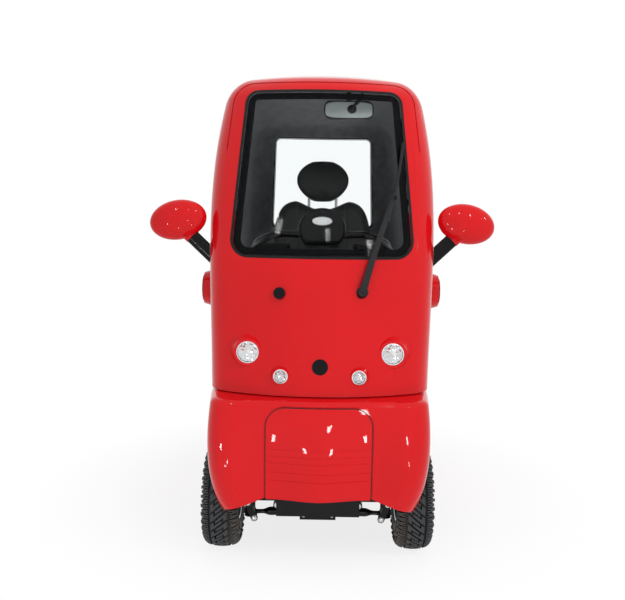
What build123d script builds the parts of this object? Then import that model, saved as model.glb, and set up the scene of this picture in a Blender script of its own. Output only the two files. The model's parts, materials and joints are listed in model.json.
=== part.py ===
from build123d import *
import os
from math import asin, atan, cos, degrees, radians, sin, sqrt, tan

# Enclosed four-wheel mobility scooter with a moulded cabin.
# Millimetres. X is across (+X is the vehicle's left), -Y is the front, Z is up from the ground.
# The origin is on the ground, at mid length.

# Wheels and axles
TYRE_R = 165
TYRE_W = 118
RIM_SEAT_R = 76
RIM_W = 100
WHEEL_X = 306
FRONT_AXLE_Y = -575
WHEELBASE = 1120
REAR_AXLE_Y = FRONT_AXLE_Y + WHEELBASE
AXLE_Z = TYRE_R
STUB_R = 12
RUN_FIT = 0.05
SEAT_GAP = 0.3

# Cabin moulding: one row for each level, as height, front centre, rear centre, half width
CABIN_LEVELS = [
    (190, -830, 792, 352),
    (530, -752, 812, 366),
    (930, -652, 803, 386),
    (1190, -540, 780, 391),
    (1420, -436, 742, 368),
    (1640, -338, 690, 318),
]
CABIN_BOW = {"front": 92, "side": 26, "rear": 45}
CABIN_CORNER = {"front": 105, "rear": 120}
WALL = 28
ROOF_R = 1900
ROOF_APEX_Y = 120
ROOF_APEX_Z = 1596
ROOF_EDGE_R = 125

# Nose cowl over the front wheels: one row for each level, as height, half width, rear
# centre, and the y of the front at the middle, in the valley beside the lid, on the
# fender's crest and at the corner
COWL_LEVELS = [
    (186, 318, 112, -806, -786, -812, -786),
    (290, 353, 132, -825, -802, -824, -796),
    (440, 362, 126, -820, -804, -814, -790),
    (532, 354, 110, -800, -794, -795, -772),
]
COWL_BOW = {"side": 30, "rear": 32}
VALLEY_X, CREST_X = 180, 252
COWL_CORNER = 62
COWL_SKIN = 5
COWL_EDGE_R = 24
COWL_BACK_Y = -348
CREASE_Z = 532
SHUT_GAP = 3
ARCH_R = 215
ARCH_Y = -565
REAR_ARCH_R = 207

# Nose panel
PANEL_HALF_W = 160
PANEL_TOP_Z = 514
PANEL_TOP_R = 58
# Shallow creases across the lower half of the lid
CREASE_ZS = [388, 367, 347, 318, 292]
CREASE_H, CREASE_DEEP = 3, 0.8

# Doors: outline in the side view, as y, z and corner radius
DOOR_OUTLINE = [
    (-336, 268, 40),
    (-336, 428, 90),
    (-452, 566, 90),
    (-452, 850, 160),
    (-287, 1432, 60),
    (306, 1432, 60),
    (306, 268, 40),
]
DOOR_GAP = 5
DOOR_DRAFT = 6
WINDOW_SILL_Z = 905
DOOR_FRAME_W = 62
HINGE_Z = (560, 1120)
HINGE_X, HINGE_Y = 402, 316
HINGE_R = 9
HINGE_PIN_R = 5
BOSS_Y, BOSS_Z, BOSS_R, BOSS_PROUD = -385, 825, 62, 30
LATCH_R, LATCH_T = 43, 9

# Glass
GLASS_T = 5
GLASS_INSET = 2
SEAL_W = 8
SCREEN_BOTTOM_Z, SCREEN_TOP_Z = 944, 1492
SCREEN_HALF_BOTTOM, SCREEN_HALF_TOP = 296, 262
SCREEN_BOTTOM_R, SCREEN_TOP_R = 58, 46
REAR_WINDOW_BOTTOM_Z, REAR_WINDOW_TOP_Z = 1000, 1436
REAR_WINDOW_HALF_BOTTOM, REAR_WINDOW_HALF_TOP = 248, 232
REAR_WINDOW_R = 34

# Lamps
HEADLAMP_X, HEADLAMP_Z, HEADLAMP_R, HEADLAMP_RIM = 222, 661, 34, 17
MARKER_X, MARKER_Z, MARKER_R, MARKER_RIM = 119, 594, 22, 7
TAIL_X, TAIL_R = 255, 34
TAIL_Z = (560, 660)

# Steering
KINGPIN_X = 222
KINGPIN_R = 9
HOUSING_R = 17
STEER_ARM = 95
COLUMN_TILT = 12
COLUMN_Y = -532
PITMAN_ARM = 69

# Floor and chassis
FLOOR_Z = 217
SHELF_Z = 416
DECK_Z = 424
DECK_Y = 62
TUB_SKIN = 10
TOE_Y = -340
WELL_X = 232
RAIL_X, RAIL_W, RAIL_H = 104, 48, 50
RAIL_TOP_Z = FLOOR_Z - TUB_SKIN - SEAT_GAP

# Seat
SEAT_Y = 150
SEAT_TOP_Z = 672
SEAT_W, SEAT_D, SEAT_T = 420, 410, 80
BACK_Y = 400
BACK_W, BACK_TOP_Z, BACK_T = 440, 1139, 75
# Top edge of the back from its middle to its side, as x and drop below the top
BACK_TOP = [(0, 32), (65, 17), (89, 8), (122, 0), (156, 10), (180, 30), (200, 67), (220, 132)]
POST_X = 60
HEADREST_W, HEADREST_H, HEADREST_T = 216, 160, 78

parts = {}


def bar(p, q, r):
    """Round bar from point p to point q."""
    p, q = Vector(*p), Vector(*q)
    return Plane(p, z_dir=q - p) * Cylinder(r, (q - p).length, align=(Align.CENTER, Align.CENTER, Align.MIN))


def block(x0, x1, y0, y1, z0, z1):
    """Box between two corners."""
    return Pos((x0 + x1) / 2, (y0 + y1) / 2, (z0 + z1) / 2) * Box(x1 - x0, y1 - y0, z1 - z0)


def both(shape):
    """A shape and its mirror image on the other side of the vehicle."""
    return [shape, mirror(shape, about=Plane.YZ)]


def join(shapes):
    """One shape out of several."""
    result = shapes[0]
    for shape in shapes[1:]:
        result = result + shape
    return result


def level(row, bow, corner, inset):
    """Outline of a moulding at one height: four arcs with rounded corners."""
    z, front, rear, half = row
    x = half - bow["side"] - inset
    f, r = front + bow["front"] + inset, rear - bow["rear"] - inset
    m = (f + r) / 2
    face = make_face(Wire([
        ThreePointArc((-x, f), (0, front + inset), (x, f)),
        ThreePointArc((x, f), (half - inset, m), (x, r)),
        ThreePointArc((x, r), (0, rear - inset), (-x, r)),
        ThreePointArc((-x, r), (inset - half, m), (-x, f)),
    ]))
    face = fillet(face.vertices().filter_by(lambda v: v.Y < m), corner["front"] - inset)
    at_rear = face.vertices().filter_by(lambda v: v.Y > m and abs(abs(v.X) - x) < 1 and abs(v.Y - r) < 1)
    return Pos(0, 0, z) * fillet(at_rear, corner["rear"] - inset)


def cabin_form(inset):
    """The cabin's smooth outer form, or a skin inset inside it."""
    body = loft([level(row, CABIN_BOW, CABIN_CORNER, inset) for row in CABIN_LEVELS])
    roof = Rotation(0, 90, 0) * Sphere(ROOF_R - inset)
    body = body & (Pos(0, ROOF_APEX_Y, ROOF_APEX_Z - ROOF_R) * roof)
    top = body.faces().sort_by(Axis.Z)[-1]
    return fillet(top.edges(), ROOF_EDGE_R - inset)


def cowl_level(row, inset):
    """Outline of the nose cowl at one height: a waved front, and arcs for the sides and the rear."""
    z, half, rear, middle, valley, crest, corner = row
    x = half - COWL_BOW["side"] - inset
    f, r = corner + inset, rear - COWL_BOW["rear"] - inset
    m = (f + r) / 2
    wave = [(-x, f), (-CREST_X, crest + inset), (-VALLEY_X, valley + inset), (0, middle + inset)]
    wave = wave + [(-u, v) for u, v in wave[-2::-1]]
    face = make_face(Wire([
        Spline(*wave),
        ThreePointArc((x, f), (half - inset, m), (x, r)),
        ThreePointArc((x, r), (0, rear - inset), (-x, r)),
        ThreePointArc((-x, r), (inset - half, m), (-x, f)),
    ]))
    top = z - inset if row == COWL_LEVELS[-1] else z
    return Pos(0, 0, top) * fillet(face.vertices(), COWL_CORNER - inset)


def cowl_form(inset):
    """The nose cowl's smooth outer form, or a skin inset inside it."""
    body = loft([cowl_level(row, inset) for row in COWL_LEVELS])
    top = body.faces().sort_by(Axis.Z)[-1]
    return fillet(top.edges(), COWL_EDGE_R - inset)


def rounded(points, radii):
    """Flat face with straight sides and its own radius at each corner."""
    face = make_face(Polyline(*points, close=True))
    for (u, v), r in zip(points, radii):
        corner = face.vertices().sort_by_distance((u, v, 0))[0]
        face = fillet(corner, r)
    return face


def side_prism(face, x0, x1, draft=0):
    """Prism across the vehicle from x1 down to x0, from a face drawn as y, z; it narrows inwards with draft."""
    outer = Plane.YZ.offset(x1) * face
    if not draft:
        return extrude(outer, x1 - x0, dir=(-1, 0, 0))
    shrink = (x1 - x0) * tan(radians(draft))
    inner = Plane.YZ.offset(x0) * offset(face, -shrink)
    return loft([inner, outer], ruled=True)


def front_prism(face, y0, y1):
    """Prism along the vehicle from y0 to y1, from a face drawn as x, z."""
    drawn = Plane((0, y1, 0), x_dir=(1, 0, 0), z_dir=(0, -1, 0)) * face
    return extrude(drawn, y1 - y0, dir=(0, -1, 0))


print("forms")
outer = cabin_form(0)
inner = cabin_form(WALL)
glass_outer, glass_inner = cabin_form(GLASS_INSET), cabin_form(GLASS_INSET + GLASS_T)
glass_skin = glass_outer - glass_inner
seal_skin = outer - glass_inner


def face_y(x, z):
    """Y of the cabin's front face at a place seen from the front."""
    probe = Edge.make_line((x, -1000, z), (x, -200, z))
    return min(v.Y for v in (probe & outer).vertices())


def face_x(y, z):
    """X of the cabin's left face at a place seen from the side."""
    probe = Edge.make_line((0, y, z), (500, y, z))
    return max(v.X for v in (probe & outer).vertices())


# Openings and panes
def screen_face(shrink):
    hb, ht = SCREEN_HALF_BOTTOM - shrink, SCREEN_HALF_TOP - shrink
    zb, zt = SCREEN_BOTTOM_Z + shrink, SCREEN_TOP_Z - shrink
    rb, rt = SCREEN_BOTTOM_R - shrink, SCREEN_TOP_R - shrink
    return rounded([(-hb, zb), (hb, zb), (ht, zt), (-ht, zt)], [rb, rb, rt, rt])


def rear_face(shrink):
    hb, ht = REAR_WINDOW_HALF_BOTTOM - shrink, REAR_WINDOW_HALF_TOP - shrink
    zb, zt = REAR_WINDOW_BOTTOM_Z + shrink, REAR_WINDOW_TOP_Z - shrink
    return rounded([(-hb, zb), (hb, zb), (ht, zt), (-ht, zt)], [REAR_WINDOW_R - shrink] * 4)


MID_Y = ROOF_APEX_Y
FRONT_END, REAR_END = -900, 900
screen_hole = front_prism(screen_face(0), FRONT_END, MID_Y)
rear_hole = front_prism(rear_face(0), MID_Y, REAR_END)
screen_ring = front_prism(screen_face(SEAT_GAP), FRONT_END, MID_Y) - front_prism(screen_face(SEAL_W), FRONT_END, MID_Y)
rear_ring = front_prism(rear_face(SEAT_GAP), MID_Y, REAR_END) - front_prism(rear_face(SEAL_W), MID_Y, REAR_END)
parts["windscreen"] = glass_skin & front_prism(screen_face(SEAL_W + SEAT_GAP), FRONT_END, MID_Y)
parts["rear_window"] = glass_skin & front_prism(rear_face(SEAL_W + SEAT_GAP), MID_Y, REAR_END)
parts["window_seals"] = [seal_skin & screen_ring, seal_skin & rear_ring]

door_face = rounded([(y, z) for y, z, r in DOOR_OUTLINE], [r for y, z, r in DOOR_OUTLINE])
DOOR_SKIN_X = 450
DOOR_INNER_X = 280
door_hole = side_prism(door_face, DOOR_INNER_X, DOOR_SKIN_X, DOOR_DRAFT)
door_plug = side_prism(offset(door_face, -DOOR_GAP), DOOR_INNER_X, DOOR_SKIN_X, DOOR_DRAFT)
window_face = offset(door_face, -DOOR_FRAME_W)
window_face = window_face & (Pos(0, WINDOW_SILL_Z + 500) * Rectangle(2000, 1000))
sill_corners = window_face.vertices().filter_by(lambda v: abs(v.Y - WINDOW_SILL_Z) < 1)
window_face = fillet(sill_corners, 40)

print("shell")
wall = outer - inner
nose_bay = block(-500, 500, -1000, COWL_BACK_Y + SHUT_GAP, 0, CREASE_Z + SHUT_GAP)
rear_arch = Pos(0, REAR_AXLE_Y, AXLE_Z) * Rotation(0, 90, 0) * Cylinder(REAR_ARCH_R, 1000)


# Places on the cabin's skin
def front_plane(x, z):
    """Plane that touches the cabin's front at x, z and faces outwards."""
    y, dx, dz = face_y(x, z), face_y(x + 5, z), face_y(x, z + 5)
    normal = Vector((dx - y) / 5, -1, (dz - y) / 5)
    return Plane((x, y, z), x_dir=(1, (dx - y) / 5, 0), z_dir=normal)


def disc_on(plane, r, back, front):
    """Round disc about a plane's normal, from back behind the plane to front before it."""
    return plane * Pos(0, 0, -back) * Cylinder(r, back + front, align=(Align.CENTER, Align.CENTER, Align.MIN))


def along_y(x, z, r, y0, y1):
    """Cylinder along Y."""
    return bar((x, y0, z), (x, y1, z), r)


shell = wall - nose_bay - rear_arch - screen_hole - rear_hole
for hole in both(door_hole):
    shell = shell - hole

# Groove where the roof moulding meets the windscreen's surround
ROOF_JOINT = [(-352, 900), (352, 900), (303, 1521), (-303, 1521)]
ROOF_JOINT_R, JOINT_W, JOINT_DEEP, JOINT_END_Z = 78, 4, 2, 1290
joint_face = rounded(ROOF_JOINT, [20, 20, ROOF_JOINT_R, ROOF_JOINT_R])
joint_ring = front_prism(joint_face, FRONT_END, MID_Y) - front_prism(offset(joint_face, -JOINT_W), FRONT_END, MID_Y)
joint_ring = joint_ring & block(-500, 500, FRONT_END, MID_Y, JOINT_END_Z, 1700)
shell = shell - ((outer - cabin_form(JOINT_DEEP)) & joint_ring)

# Front lamps: a moulded ring on the shell, a cup in it and a lens
lamp_cups, lamp_lenses = [], []
FRONT_LAMPS = [
    (HEADLAMP_X, HEADLAMP_Z, HEADLAMP_R, HEADLAMP_RIM, 12),
    (MARKER_X, MARKER_Z, MARKER_R, MARKER_RIM, 8),
]
for x, z, r, rim, proud in FRONT_LAMPS:
    front = face_y(x, z) - proud
    cone = Cone(r + rim + 12, r + rim / 2, 50, align=(Align.CENTER, Align.CENTER, Align.MAX))
    ring = Pos(x, front, z) * Rotation(90, 0, 0) * cone
    pocket = along_y(x, z, r + SEAT_GAP, front - 40, front + 20)
    for one in both(ring - inner):
        shell = shell + one
    for one in both(pocket):
        shell = shell - one
    cup = along_y(x, z, r, front + 2, front + 20 - SEAT_GAP) - along_y(x, z, r - 3, front - 5, front + 15)
    lens = along_y(x, z, r - 3 - SEAT_GAP, front + 3, front + 8)
    lamp_cups += both(cup)
    lamp_lenses += both(lens)
parts["lamp_cups"] = lamp_cups
parts["lamp_lenses"] = lamp_lenses

# Tail lamps in pockets of the rear wall
probe = Edge.make_line((TAIL_X, 400, TAIL_Z[0]), (TAIL_X, 1000, TAIL_Z[0]))
TAIL_Y = max(v.Y for v in (probe & outer).vertices())
tail_lamps = []
for z in TAIL_Z:
    for one in both(along_y(TAIL_X, z, TAIL_R + SEAT_GAP, TAIL_Y - 14, TAIL_Y + 60)):
        shell = shell - one
    tail_lamps += both(along_y(TAIL_X, z, TAIL_R, TAIL_Y - 14 + SEAT_GAP, TAIL_Y + 8))
parts["tail_lamps"] = tail_lamps

# Badge disc, washer jet and wiper on the bonnet
BADGE_Z, BADGE_R = 624, 24
badge_plane = front_plane(0, BADGE_Z)
shell = shell - disc_on(badge_plane, BADGE_R + SEAT_GAP, 4, 20)
parts["nose_badge"] = disc_on(badge_plane, BADGE_R, 4 - SEAT_GAP, 1.5)
JET_X, JET_Z, JET_R = -127, 839, 18
jet_plane = front_plane(JET_X, JET_Z)
shell = shell - disc_on(jet_plane, JET_R - 6 + SEAT_GAP, 12, 20)
parts["washer_jet"] = disc_on(jet_plane, JET_R - 6, 12 - SEAT_GAP, 6) + disc_on(jet_plane, JET_R, -1, 9)
PIVOT_X, PIVOT_Z, PIVOT_R = 124, 842, 15
pivot_plane = front_plane(PIVOT_X, PIVOT_Z)
shell = shell - disc_on(pivot_plane, PIVOT_R + SEAT_GAP, 12, 20)
WIPER_POINTS = [(124, 842), (175, 999), (229, 1151), (262, 1319)]
WIPER_OFF = 16
wiper = disc_on(pivot_plane, PIVOT_R, 12 - SEAT_GAP, WIPER_OFF)
track = [(x, face_y(x, z) - WIPER_OFF, z) for x, z in WIPER_POINTS]
for p, q in zip(track, track[1:]):
    wiper = wiper + bar(p, q, 5)
parts["wiper"] = wiper
parts["body_shell"] = shell

print("doors")
door_skin = (wall & door_plug) - side_prism(window_face, 200, DOOR_SKIN_X)
boss_x = face_x(BOSS_Y, BOSS_Z)
at_boss = Pos(boss_x, BOSS_Y, BOSS_Z) * Rotation(0, 90, 0)
boss = at_boss * Pos(0, 0, -20) * Cone(BOSS_R + 8, BOSS_R - 8, BOSS_PROUD + 20, align=(Align.CENTER, Align.CENTER, Align.MIN))
door_skin = door_skin + ((boss - inner) & door_plug)
pocket = at_boss * Pos(0, 0, BOSS_PROUD - LATCH_T) * Cylinder(LATCH_R + SEAT_GAP, 40, align=(Align.CENTER, Align.CENTER, Align.MIN))
latch = at_boss * Pos(0, 0, BOSS_PROUD - LATCH_T + SEAT_GAP) * Cylinder(LATCH_R, LATCH_T + 4, align=(Align.CENTER, Align.CENTER, Align.MIN))
door_skin = door_skin - pocket
door_glass = glass_skin & side_prism(offset(window_face, -SEAT_GAP), 200, DOOR_SKIN_X)

outside = cabin_form(-SEAT_GAP)
hinge_arms, door_leaves = [], []
for z in HINGE_Z:
    def barrel(r, z0, z1):
        return bar((HINGE_X, HINGE_Y, z + z0), (HINGE_X, HINGE_Y, z + z1), r)
    arm = barrel(HINGE_PIN_R, -32, 32)
    for z0, z1 in [(-32, -11), (11, 32)]:
        foot = block(330, HINGE_X + HINGE_R, HINGE_Y, HINGE_Y + 46, z + z0, z + z1)
        arm = arm + barrel(HINGE_R, z0, z1) + (foot - outside)
    hinge_arms += both(arm)
    strap = block(330, HINGE_X + HINGE_R, HINGE_Y - 90, HINGE_Y - 14, z - 10, z + 10) - outside
    strap = strap + block(HINGE_X - 4, HINGE_X + HINGE_R, HINGE_Y - 20, HINGE_Y, z - 10, z + 10)
    strap = strap + barrel(HINGE_R, -10, 10) - barrel(HINGE_PIN_R + RUN_FIT, -20, 20)
    door_leaves.append(strap)
parts["hinge_brackets"] = hinge_arms
parts["door_left_panel"], parts["door_right_panel"] = both(door_skin)
parts["door_left_window"], parts["door_right_window"] = both(door_glass)
parts["door_left_latch"], parts["door_right_latch"] = both(latch)
parts["door_left_hinges"] = door_leaves
parts["door_right_hinges"] = [mirror(leaf, about=Plane.YZ) for leaf in door_leaves]

print("cowl")
cowl_outer, cowl_inner = cowl_form(0), cowl_form(COWL_SKIN)
cowl = cowl_outer - cowl_inner
cowl = cowl & block(-500, 500, -900, COWL_BACK_Y, 0, 600)
cowl = cowl - inner
arch = Pos(0, ARCH_Y, AXLE_Z) * Rotation(0, 90, 0) * Cylinder(ARCH_R, 1000)
cowl = cowl - arch
cowl = cowl - block(-500, 500, -420, 0, 0, 235)
LIP = [(0, 236), (158, 236), (229, 211), (269, 199), (286, 193), (298, 194), (312, 206), (326, 226), (345, 240), (345, 100), (0, 100)]
LIP = [(-x, z) for x, z in LIP[-2:0:-1]] + LIP[1:-1]
cowl = cowl - front_prism(make_face(Polyline(*LIP, close=True)), -900, -600)
for cut in both(side_prism(offset(door_face, 7), 250, 500)):
    cowl = cowl - cut
panel_points = [(-PANEL_HALF_W, 228), (PANEL_HALF_W, 228), (PANEL_HALF_W, PANEL_TOP_Z), (-PANEL_HALF_W, PANEL_TOP_Z)]
panel_face = rounded(panel_points, [8, 8, PANEL_TOP_R, PANEL_TOP_R])
recess = (cowl_outer - cowl_form(3)) & front_prism(offset(panel_face, SHUT_GAP), -900, -700)
cowl = cowl - recess
panel = (cowl_outer - cowl_form(3 - SEAT_GAP)) & front_prism(panel_face, -900, -700)
bands = [block(-PANEL_HALF_W + 6, PANEL_HALF_W - 6, -900, -700, z, z + CREASE_H) for z in CREASE_ZS]
creased = cowl_form(CREASE_DEEP)
for band in bands:
    panel = panel - (band - creased)
parts["nose_cowl"] = cowl
parts["nose_panel"] = panel

print("tub")
liner = cabin_form(WALL + SEAT_GAP)
cavity = cabin_form(WALL + SEAT_GAP + TUB_SKIN)
TUB_NOSE = [(-800, 406), (-350, 406), (-350, 207), (72, 207), (72, 258), (-340, 258), (-340, 420), (-470, 540), (-800, 540)]
TUB_ROOM = [(-790, 416), (-340, 416), (-340, 217), (62, 217), (62, 424), (750, 424), (750, 700), (-790, 700)]
DECK_HALF_W = 320
tub = liner & side_prism(make_face(Polyline(*TUB_NOSE, close=True)), -500, 500)
tub = tub + (liner & block(-DECK_HALF_W, DECK_HALF_W, 62, 72, 207, 424))
tub = tub + (liner & block(-DECK_HALF_W, DECK_HALF_W, 62, 330, 414, 424))
tub = tub + (liner & block(-500, 500, 316, 760, 414, 480))
tub = tub - (cavity & side_prism(make_face(Polyline(*TUB_ROOM, close=True)), -500, 500))
well_wall = block(WELL_X - 8, WELL_X, 330, 750, 190, 414.5) & liner
for one in both(well_wall):
    tub = tub + one
column_low = (0, COLUMN_Y + 330 * tan(radians(COLUMN_TILT)), 330)
column_top = (0, COLUMN_Y + 930 * tan(radians(COLUMN_TILT)), 930)
tub = tub - bar(column_low, column_top, 46)
parts["cabin_tub"] = tub

print("chassis")
frame_bits = []
RAIL_Z0 = RAIL_TOP_Z - RAIL_H
UP_Z0, UP_Z1 = 330, 370
for one in both(block(RAIL_X - RAIL_W / 2, RAIL_X + RAIL_W / 2, -740, 460, RAIL_Z0, RAIL_TOP_Z)):
    frame_bits.append(one)
for one in both(block(RAIL_X - RAIL_W / 2, RAIL_X + RAIL_W / 2, 420, 460, RAIL_Z0, UP_Z1)):
    frame_bits.append(one)
for one in both(block(RAIL_X - RAIL_W / 2, RAIL_X + RAIL_W / 2, 420, 735, UP_Z0, UP_Z1)):
    frame_bits.append(one)
for y0, y1, z0, z1, w in [(-740, -700, RAIL_Z0, RAIL_TOP_Z, 120), (-300, -260, RAIL_Z0, RAIL_TOP_Z, 280),
                          (20, 60, RAIL_Z0, RAIL_TOP_Z, 280), (340, 380, RAIL_Z0, RAIL_TOP_Z, 120),
                          (695, 735, UP_Z0, UP_Z1, 220)]:
    frame_bits.append(block(-w, w, y0, y1, z0, z1))
PADS = [(RAIL_X, -300), (RAIL_X, 360)]
PAD_Z0 = RAIL_Z0 - 12
for x, y in PADS:
    frame_bits += both(block(x - 25, x + 25, y - 30, y + 30, PAD_Z0, RAIL_Z0))
frame_bits.append(block(-55, 55, -660, -500, RAIL_Z0 + 5, RAIL_TOP_Z - 5))
frame_bits.append(block(-100, 100, -660, -630, RAIL_Z0 + 5, RAIL_TOP_Z - 5))
frame_bits.append(block(-100, 100, -530, -440, RAIL_Z0 + 5, RAIL_TOP_Z))
frame_bits += both(block(RAIL_X, 186, 535, 575, 350, UP_Z1))
chassis = join(frame_bits)
parts["chassis_frame"] = chassis

# Front suspension: centre block, lower and upper arms with the fixed kingpins
KING = (KINGPIN_X, FRONT_AXLE_Y)
LOW_Z0, LOW_Z1 = 94, 116
HUB_Z0, HUB_Z1 = 117, 205
TOP_Z0, TOP_Z1 = 206, 226
# The lower arm swells towards the wheel and then necks down, as along, radius
ARM_PROFILE = [(0, 9), (35, 10), (75, 12.5), (104, 14), (120, 12), (131, 8), (140, 7), (178, 7)]
ARM_IN_X, ARM_IN_Z, ARM_OUT_Z = 44, 113, 105
arm_edge = Spline(*[(r, a) for a, r in ARM_PROFILE])
arm_half = make_face(Wire([Line((0, 0), (ARM_PROFILE[0][1], 0)), arm_edge, Line((ARM_PROFILE[-1][1], 178), (0, 178)), Line((0, 178), (0, 0))]))
swollen = revolve(arm_half, Axis.Y)
EYE, EYE_R, EYE_LONG = (133, 141), 12, 34
LINK_TOP, LINK_LOW, LINK_Y, LINK_T, LINK_R = (227, 147), (206, 97), 36, 6, 11


def arm_place(side):
    """Place of a lower arm: from the centre block out to the foot of the kingpin."""
    drop = degrees(atan((ARM_IN_Z - ARM_OUT_Z) / (KINGPIN_X - ARM_IN_X)))
    return Pos(side * ARM_IN_X, FRONT_AXLE_Y, ARM_IN_Z) * Rotation(0, side * drop, 0) * Rotation(0, 0, -side * 90)


def link_plate():
    """Flat link in front of the kingpin, rounded at both ends."""
    ends = [Pos(x, z) * Circle(LINK_R) for x, z in (LINK_TOP, LINK_LOW)]
    return front_prism(make_hull([e for one in ends for e in one.edges()]), FRONT_AXLE_Y - LINK_Y, FRONT_AXLE_Y - LINK_Y + LINK_T)


link = link_plate()
susp = block(-58, 58, -625, -555, 100, RAIL_Z0 + 5 - SEAT_GAP)
for side in (-1, 1):
    kx = side * KINGPIN_X
    low = arm_place(side) * swollen
    low = low + bar((kx, FRONT_AXLE_Y, LOW_Z0), (kx, FRONT_AXLE_Y, LOW_Z1), 19)
    low = low + bar((side * EYE[0], FRONT_AXLE_Y - EYE_LONG, EYE[1]), (side * EYE[0], FRONT_AXLE_Y + 8, EYE[1]), EYE_R)
    low = low + block(min(side * 124, side * 142), max(side * 124, side * 142), FRONT_AXLE_Y - 8, FRONT_AXLE_Y + 8, 106, EYE[1])
    low = low + bar((side * EYE[0], FRONT_AXLE_Y - 25, EYE[1]), (side * 50, FRONT_AXLE_Y - 25, 147), 8)
    low = low + bar((side * LINK_LOW[0], FRONT_AXLE_Y - LINK_Y, LINK_LOW[1]), (side * LINK_LOW[0], FRONT_AXLE_Y - 8, LINK_LOW[1]), 8)
    low = low + (link if side > 0 else mirror(link, about=Plane.YZ))
    pin = bar((kx, FRONT_AXLE_Y, LOW_Z0), (kx, FRONT_AXLE_Y, TOP_Z1), KINGPIN_R)
    top = bar((kx, FRONT_AXLE_Y, TOP_Z0), (kx, FRONT_AXLE_Y, TOP_Z1), 19)
    top = top + block(min(side * 60, kx), max(side * 60, kx), FRONT_AXLE_Y - 14, FRONT_AXLE_Y + 14, TOP_Z0 + 2, TOP_Z1 - 2)
    top = top + block(min(side * 56, side * 79), max(side * 56, side * 79), FRONT_AXLE_Y - 14, FRONT_AXLE_Y + 14, 102, TOP_Z1 - 2)
    susp = susp + low + pin + top
susp = susp - block(-55 - SEAT_GAP, 55 + SEAT_GAP, -660, -500, RAIL_Z0 + 5 - SEAT_GAP, RAIL_TOP_Z - 5 + SEAT_GAP)
parts["front_suspension"] = susp

# Steering column housing, fixed to the chassis and passing up through the shelf
def on_column(z):
    """Point on the column's axis at a height."""
    return (0, COLUMN_Y + z * tan(radians(COLUMN_TILT)), z)


TUBE_R, TUBE_IN_R, STEM_R = 36, 24, 23.9
column = bar(on_column(240), on_column(700), TUBE_R) - bar(on_column(250), on_column(720), STEM_R + RUN_FIT)
foot_y = on_column(225)[1]
column = column + block(-45, 45, foot_y - 40, foot_y + 40, RAIL_TOP_Z + SEAT_GAP, 250)
parts["steering_column"] = column - bar(on_column(250), on_column(720), STEM_R + RUN_FIT)

# Tiller: stem, console head and delta handlebar
stem = bar(on_column(254), on_column(980), STEM_R) + bar(on_column(706), on_column(900), TUBE_R)
HEAD_Y = on_column(1010)[1]
DOME_W, DOME_H, DOME_D, DOME_Z = 166, 150, 92, 1022
at_head = Pos(0, HEAD_Y, DOME_Z) * Rotation(-COLUMN_TILT, 0, 0)
dome = extrude(Plane.XZ * Ellipse(DOME_W / 2, DOME_H / 2), DOME_D / 2, both=True)
dome = dome - Pos(0, 0, -DOME_H / 2 - 50 + 20) * Box(400, 400, 100)
dome = fillet(dome.edges(), 16)
head = at_head * dome
head = head - bar(on_column(900), on_column(980.4), STEM_R + SEAT_GAP)
screen_plane = at_head * Pos(0, -DOME_D / 2, 26) * Rotation(90, 0, 0)
oval = screen_plane * Pos(0, 0, -3) * extrude(Ellipse(24, 14), 5)
head = head - screen_plane * Pos(0, 0, -3 - SEAT_GAP) * extrude(Ellipse(24 + SEAT_GAP, 14 + SEAT_GAP), 10)
BAR_POINTS = [(0, 0, 0), (60, 0, 6), (160, 10, 8), (236, 55, -28), (206, 112, -40), (120, 128, -40)]
bars = []
bar_at = (0, HEAD_Y + 20, 1000)
for p, q in zip(BAR_POINTS, BAR_POINTS[1:]):
    a = tuple(u + v for u, v in zip(bar_at, p))
    b = tuple(u + v for u, v in zip(bar_at, q))
    bars.append(bar(a, b, 13))
    bars.append(Pos(*b) * Sphere(13))
half_bar = join(bars)
handlebar = join(both(half_bar)) + Pos(*bar_at) * Sphere(13)
grips = [tuple(u + v for u, v in zip(bar_at, p)) for p in BAR_POINTS[:3]]
slot = Pos(*grips[0]) * Sphere(13 + SEAT_GAP) + bar(grips[0], grips[1], 13 + SEAT_GAP)
slot = slot + Pos(*grips[1]) * Sphere(13 + SEAT_GAP) + bar(grips[1], grips[2], 13 + SEAT_GAP)
for one in both(slot):
    head = head - one
parts["tiller_stem"] = stem
parts["tiller_head"] = head
parts["tiller_badge"] = oval
parts["handlebar"] = handlebar

# Knuckles with stub axles and steering arms, and the tie rod
ARM_Z0, ARM_Z1 = 128, 144
ROD_Z0, ROD_Z1 = 106, 124
ROD_PIN_R = 7
arm_y = FRONT_AXLE_Y + STEER_ARM
knuckle = bar((KINGPIN_X, FRONT_AXLE_Y, HUB_Z0), (KINGPIN_X, FRONT_AXLE_Y, HUB_Z1), HOUSING_R)
knuckle = knuckle + bar((KINGPIN_X, FRONT_AXLE_Y, AXLE_Z), (WHEEL_X + 44, FRONT_AXLE_Y, AXLE_Z), STUB_R)
knuckle = knuckle + block(KINGPIN_X - 8, KINGPIN_X + 8, FRONT_AXLE_Y, arm_y, ARM_Z0, ARM_Z1)
knuckle = knuckle + bar((KINGPIN_X, arm_y, ARM_Z0), (KINGPIN_X, arm_y, ARM_Z1), 14)
knuckle = knuckle - bar((KINGPIN_X, FRONT_AXLE_Y, 90), (KINGPIN_X, FRONT_AXLE_Y, 230), KINGPIN_R + RUN_FIT)
knuckle = knuckle - bar((KINGPIN_X, arm_y, 90), (KINGPIN_X, arm_y, 230), ROD_PIN_R + RUN_FIT)
parts["knuckle_left"], parts["knuckle_right"] = both(knuckle)
rod = bar((-KINGPIN_X, arm_y, 115), (KINGPIN_X, arm_y, 115), 8)
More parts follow.
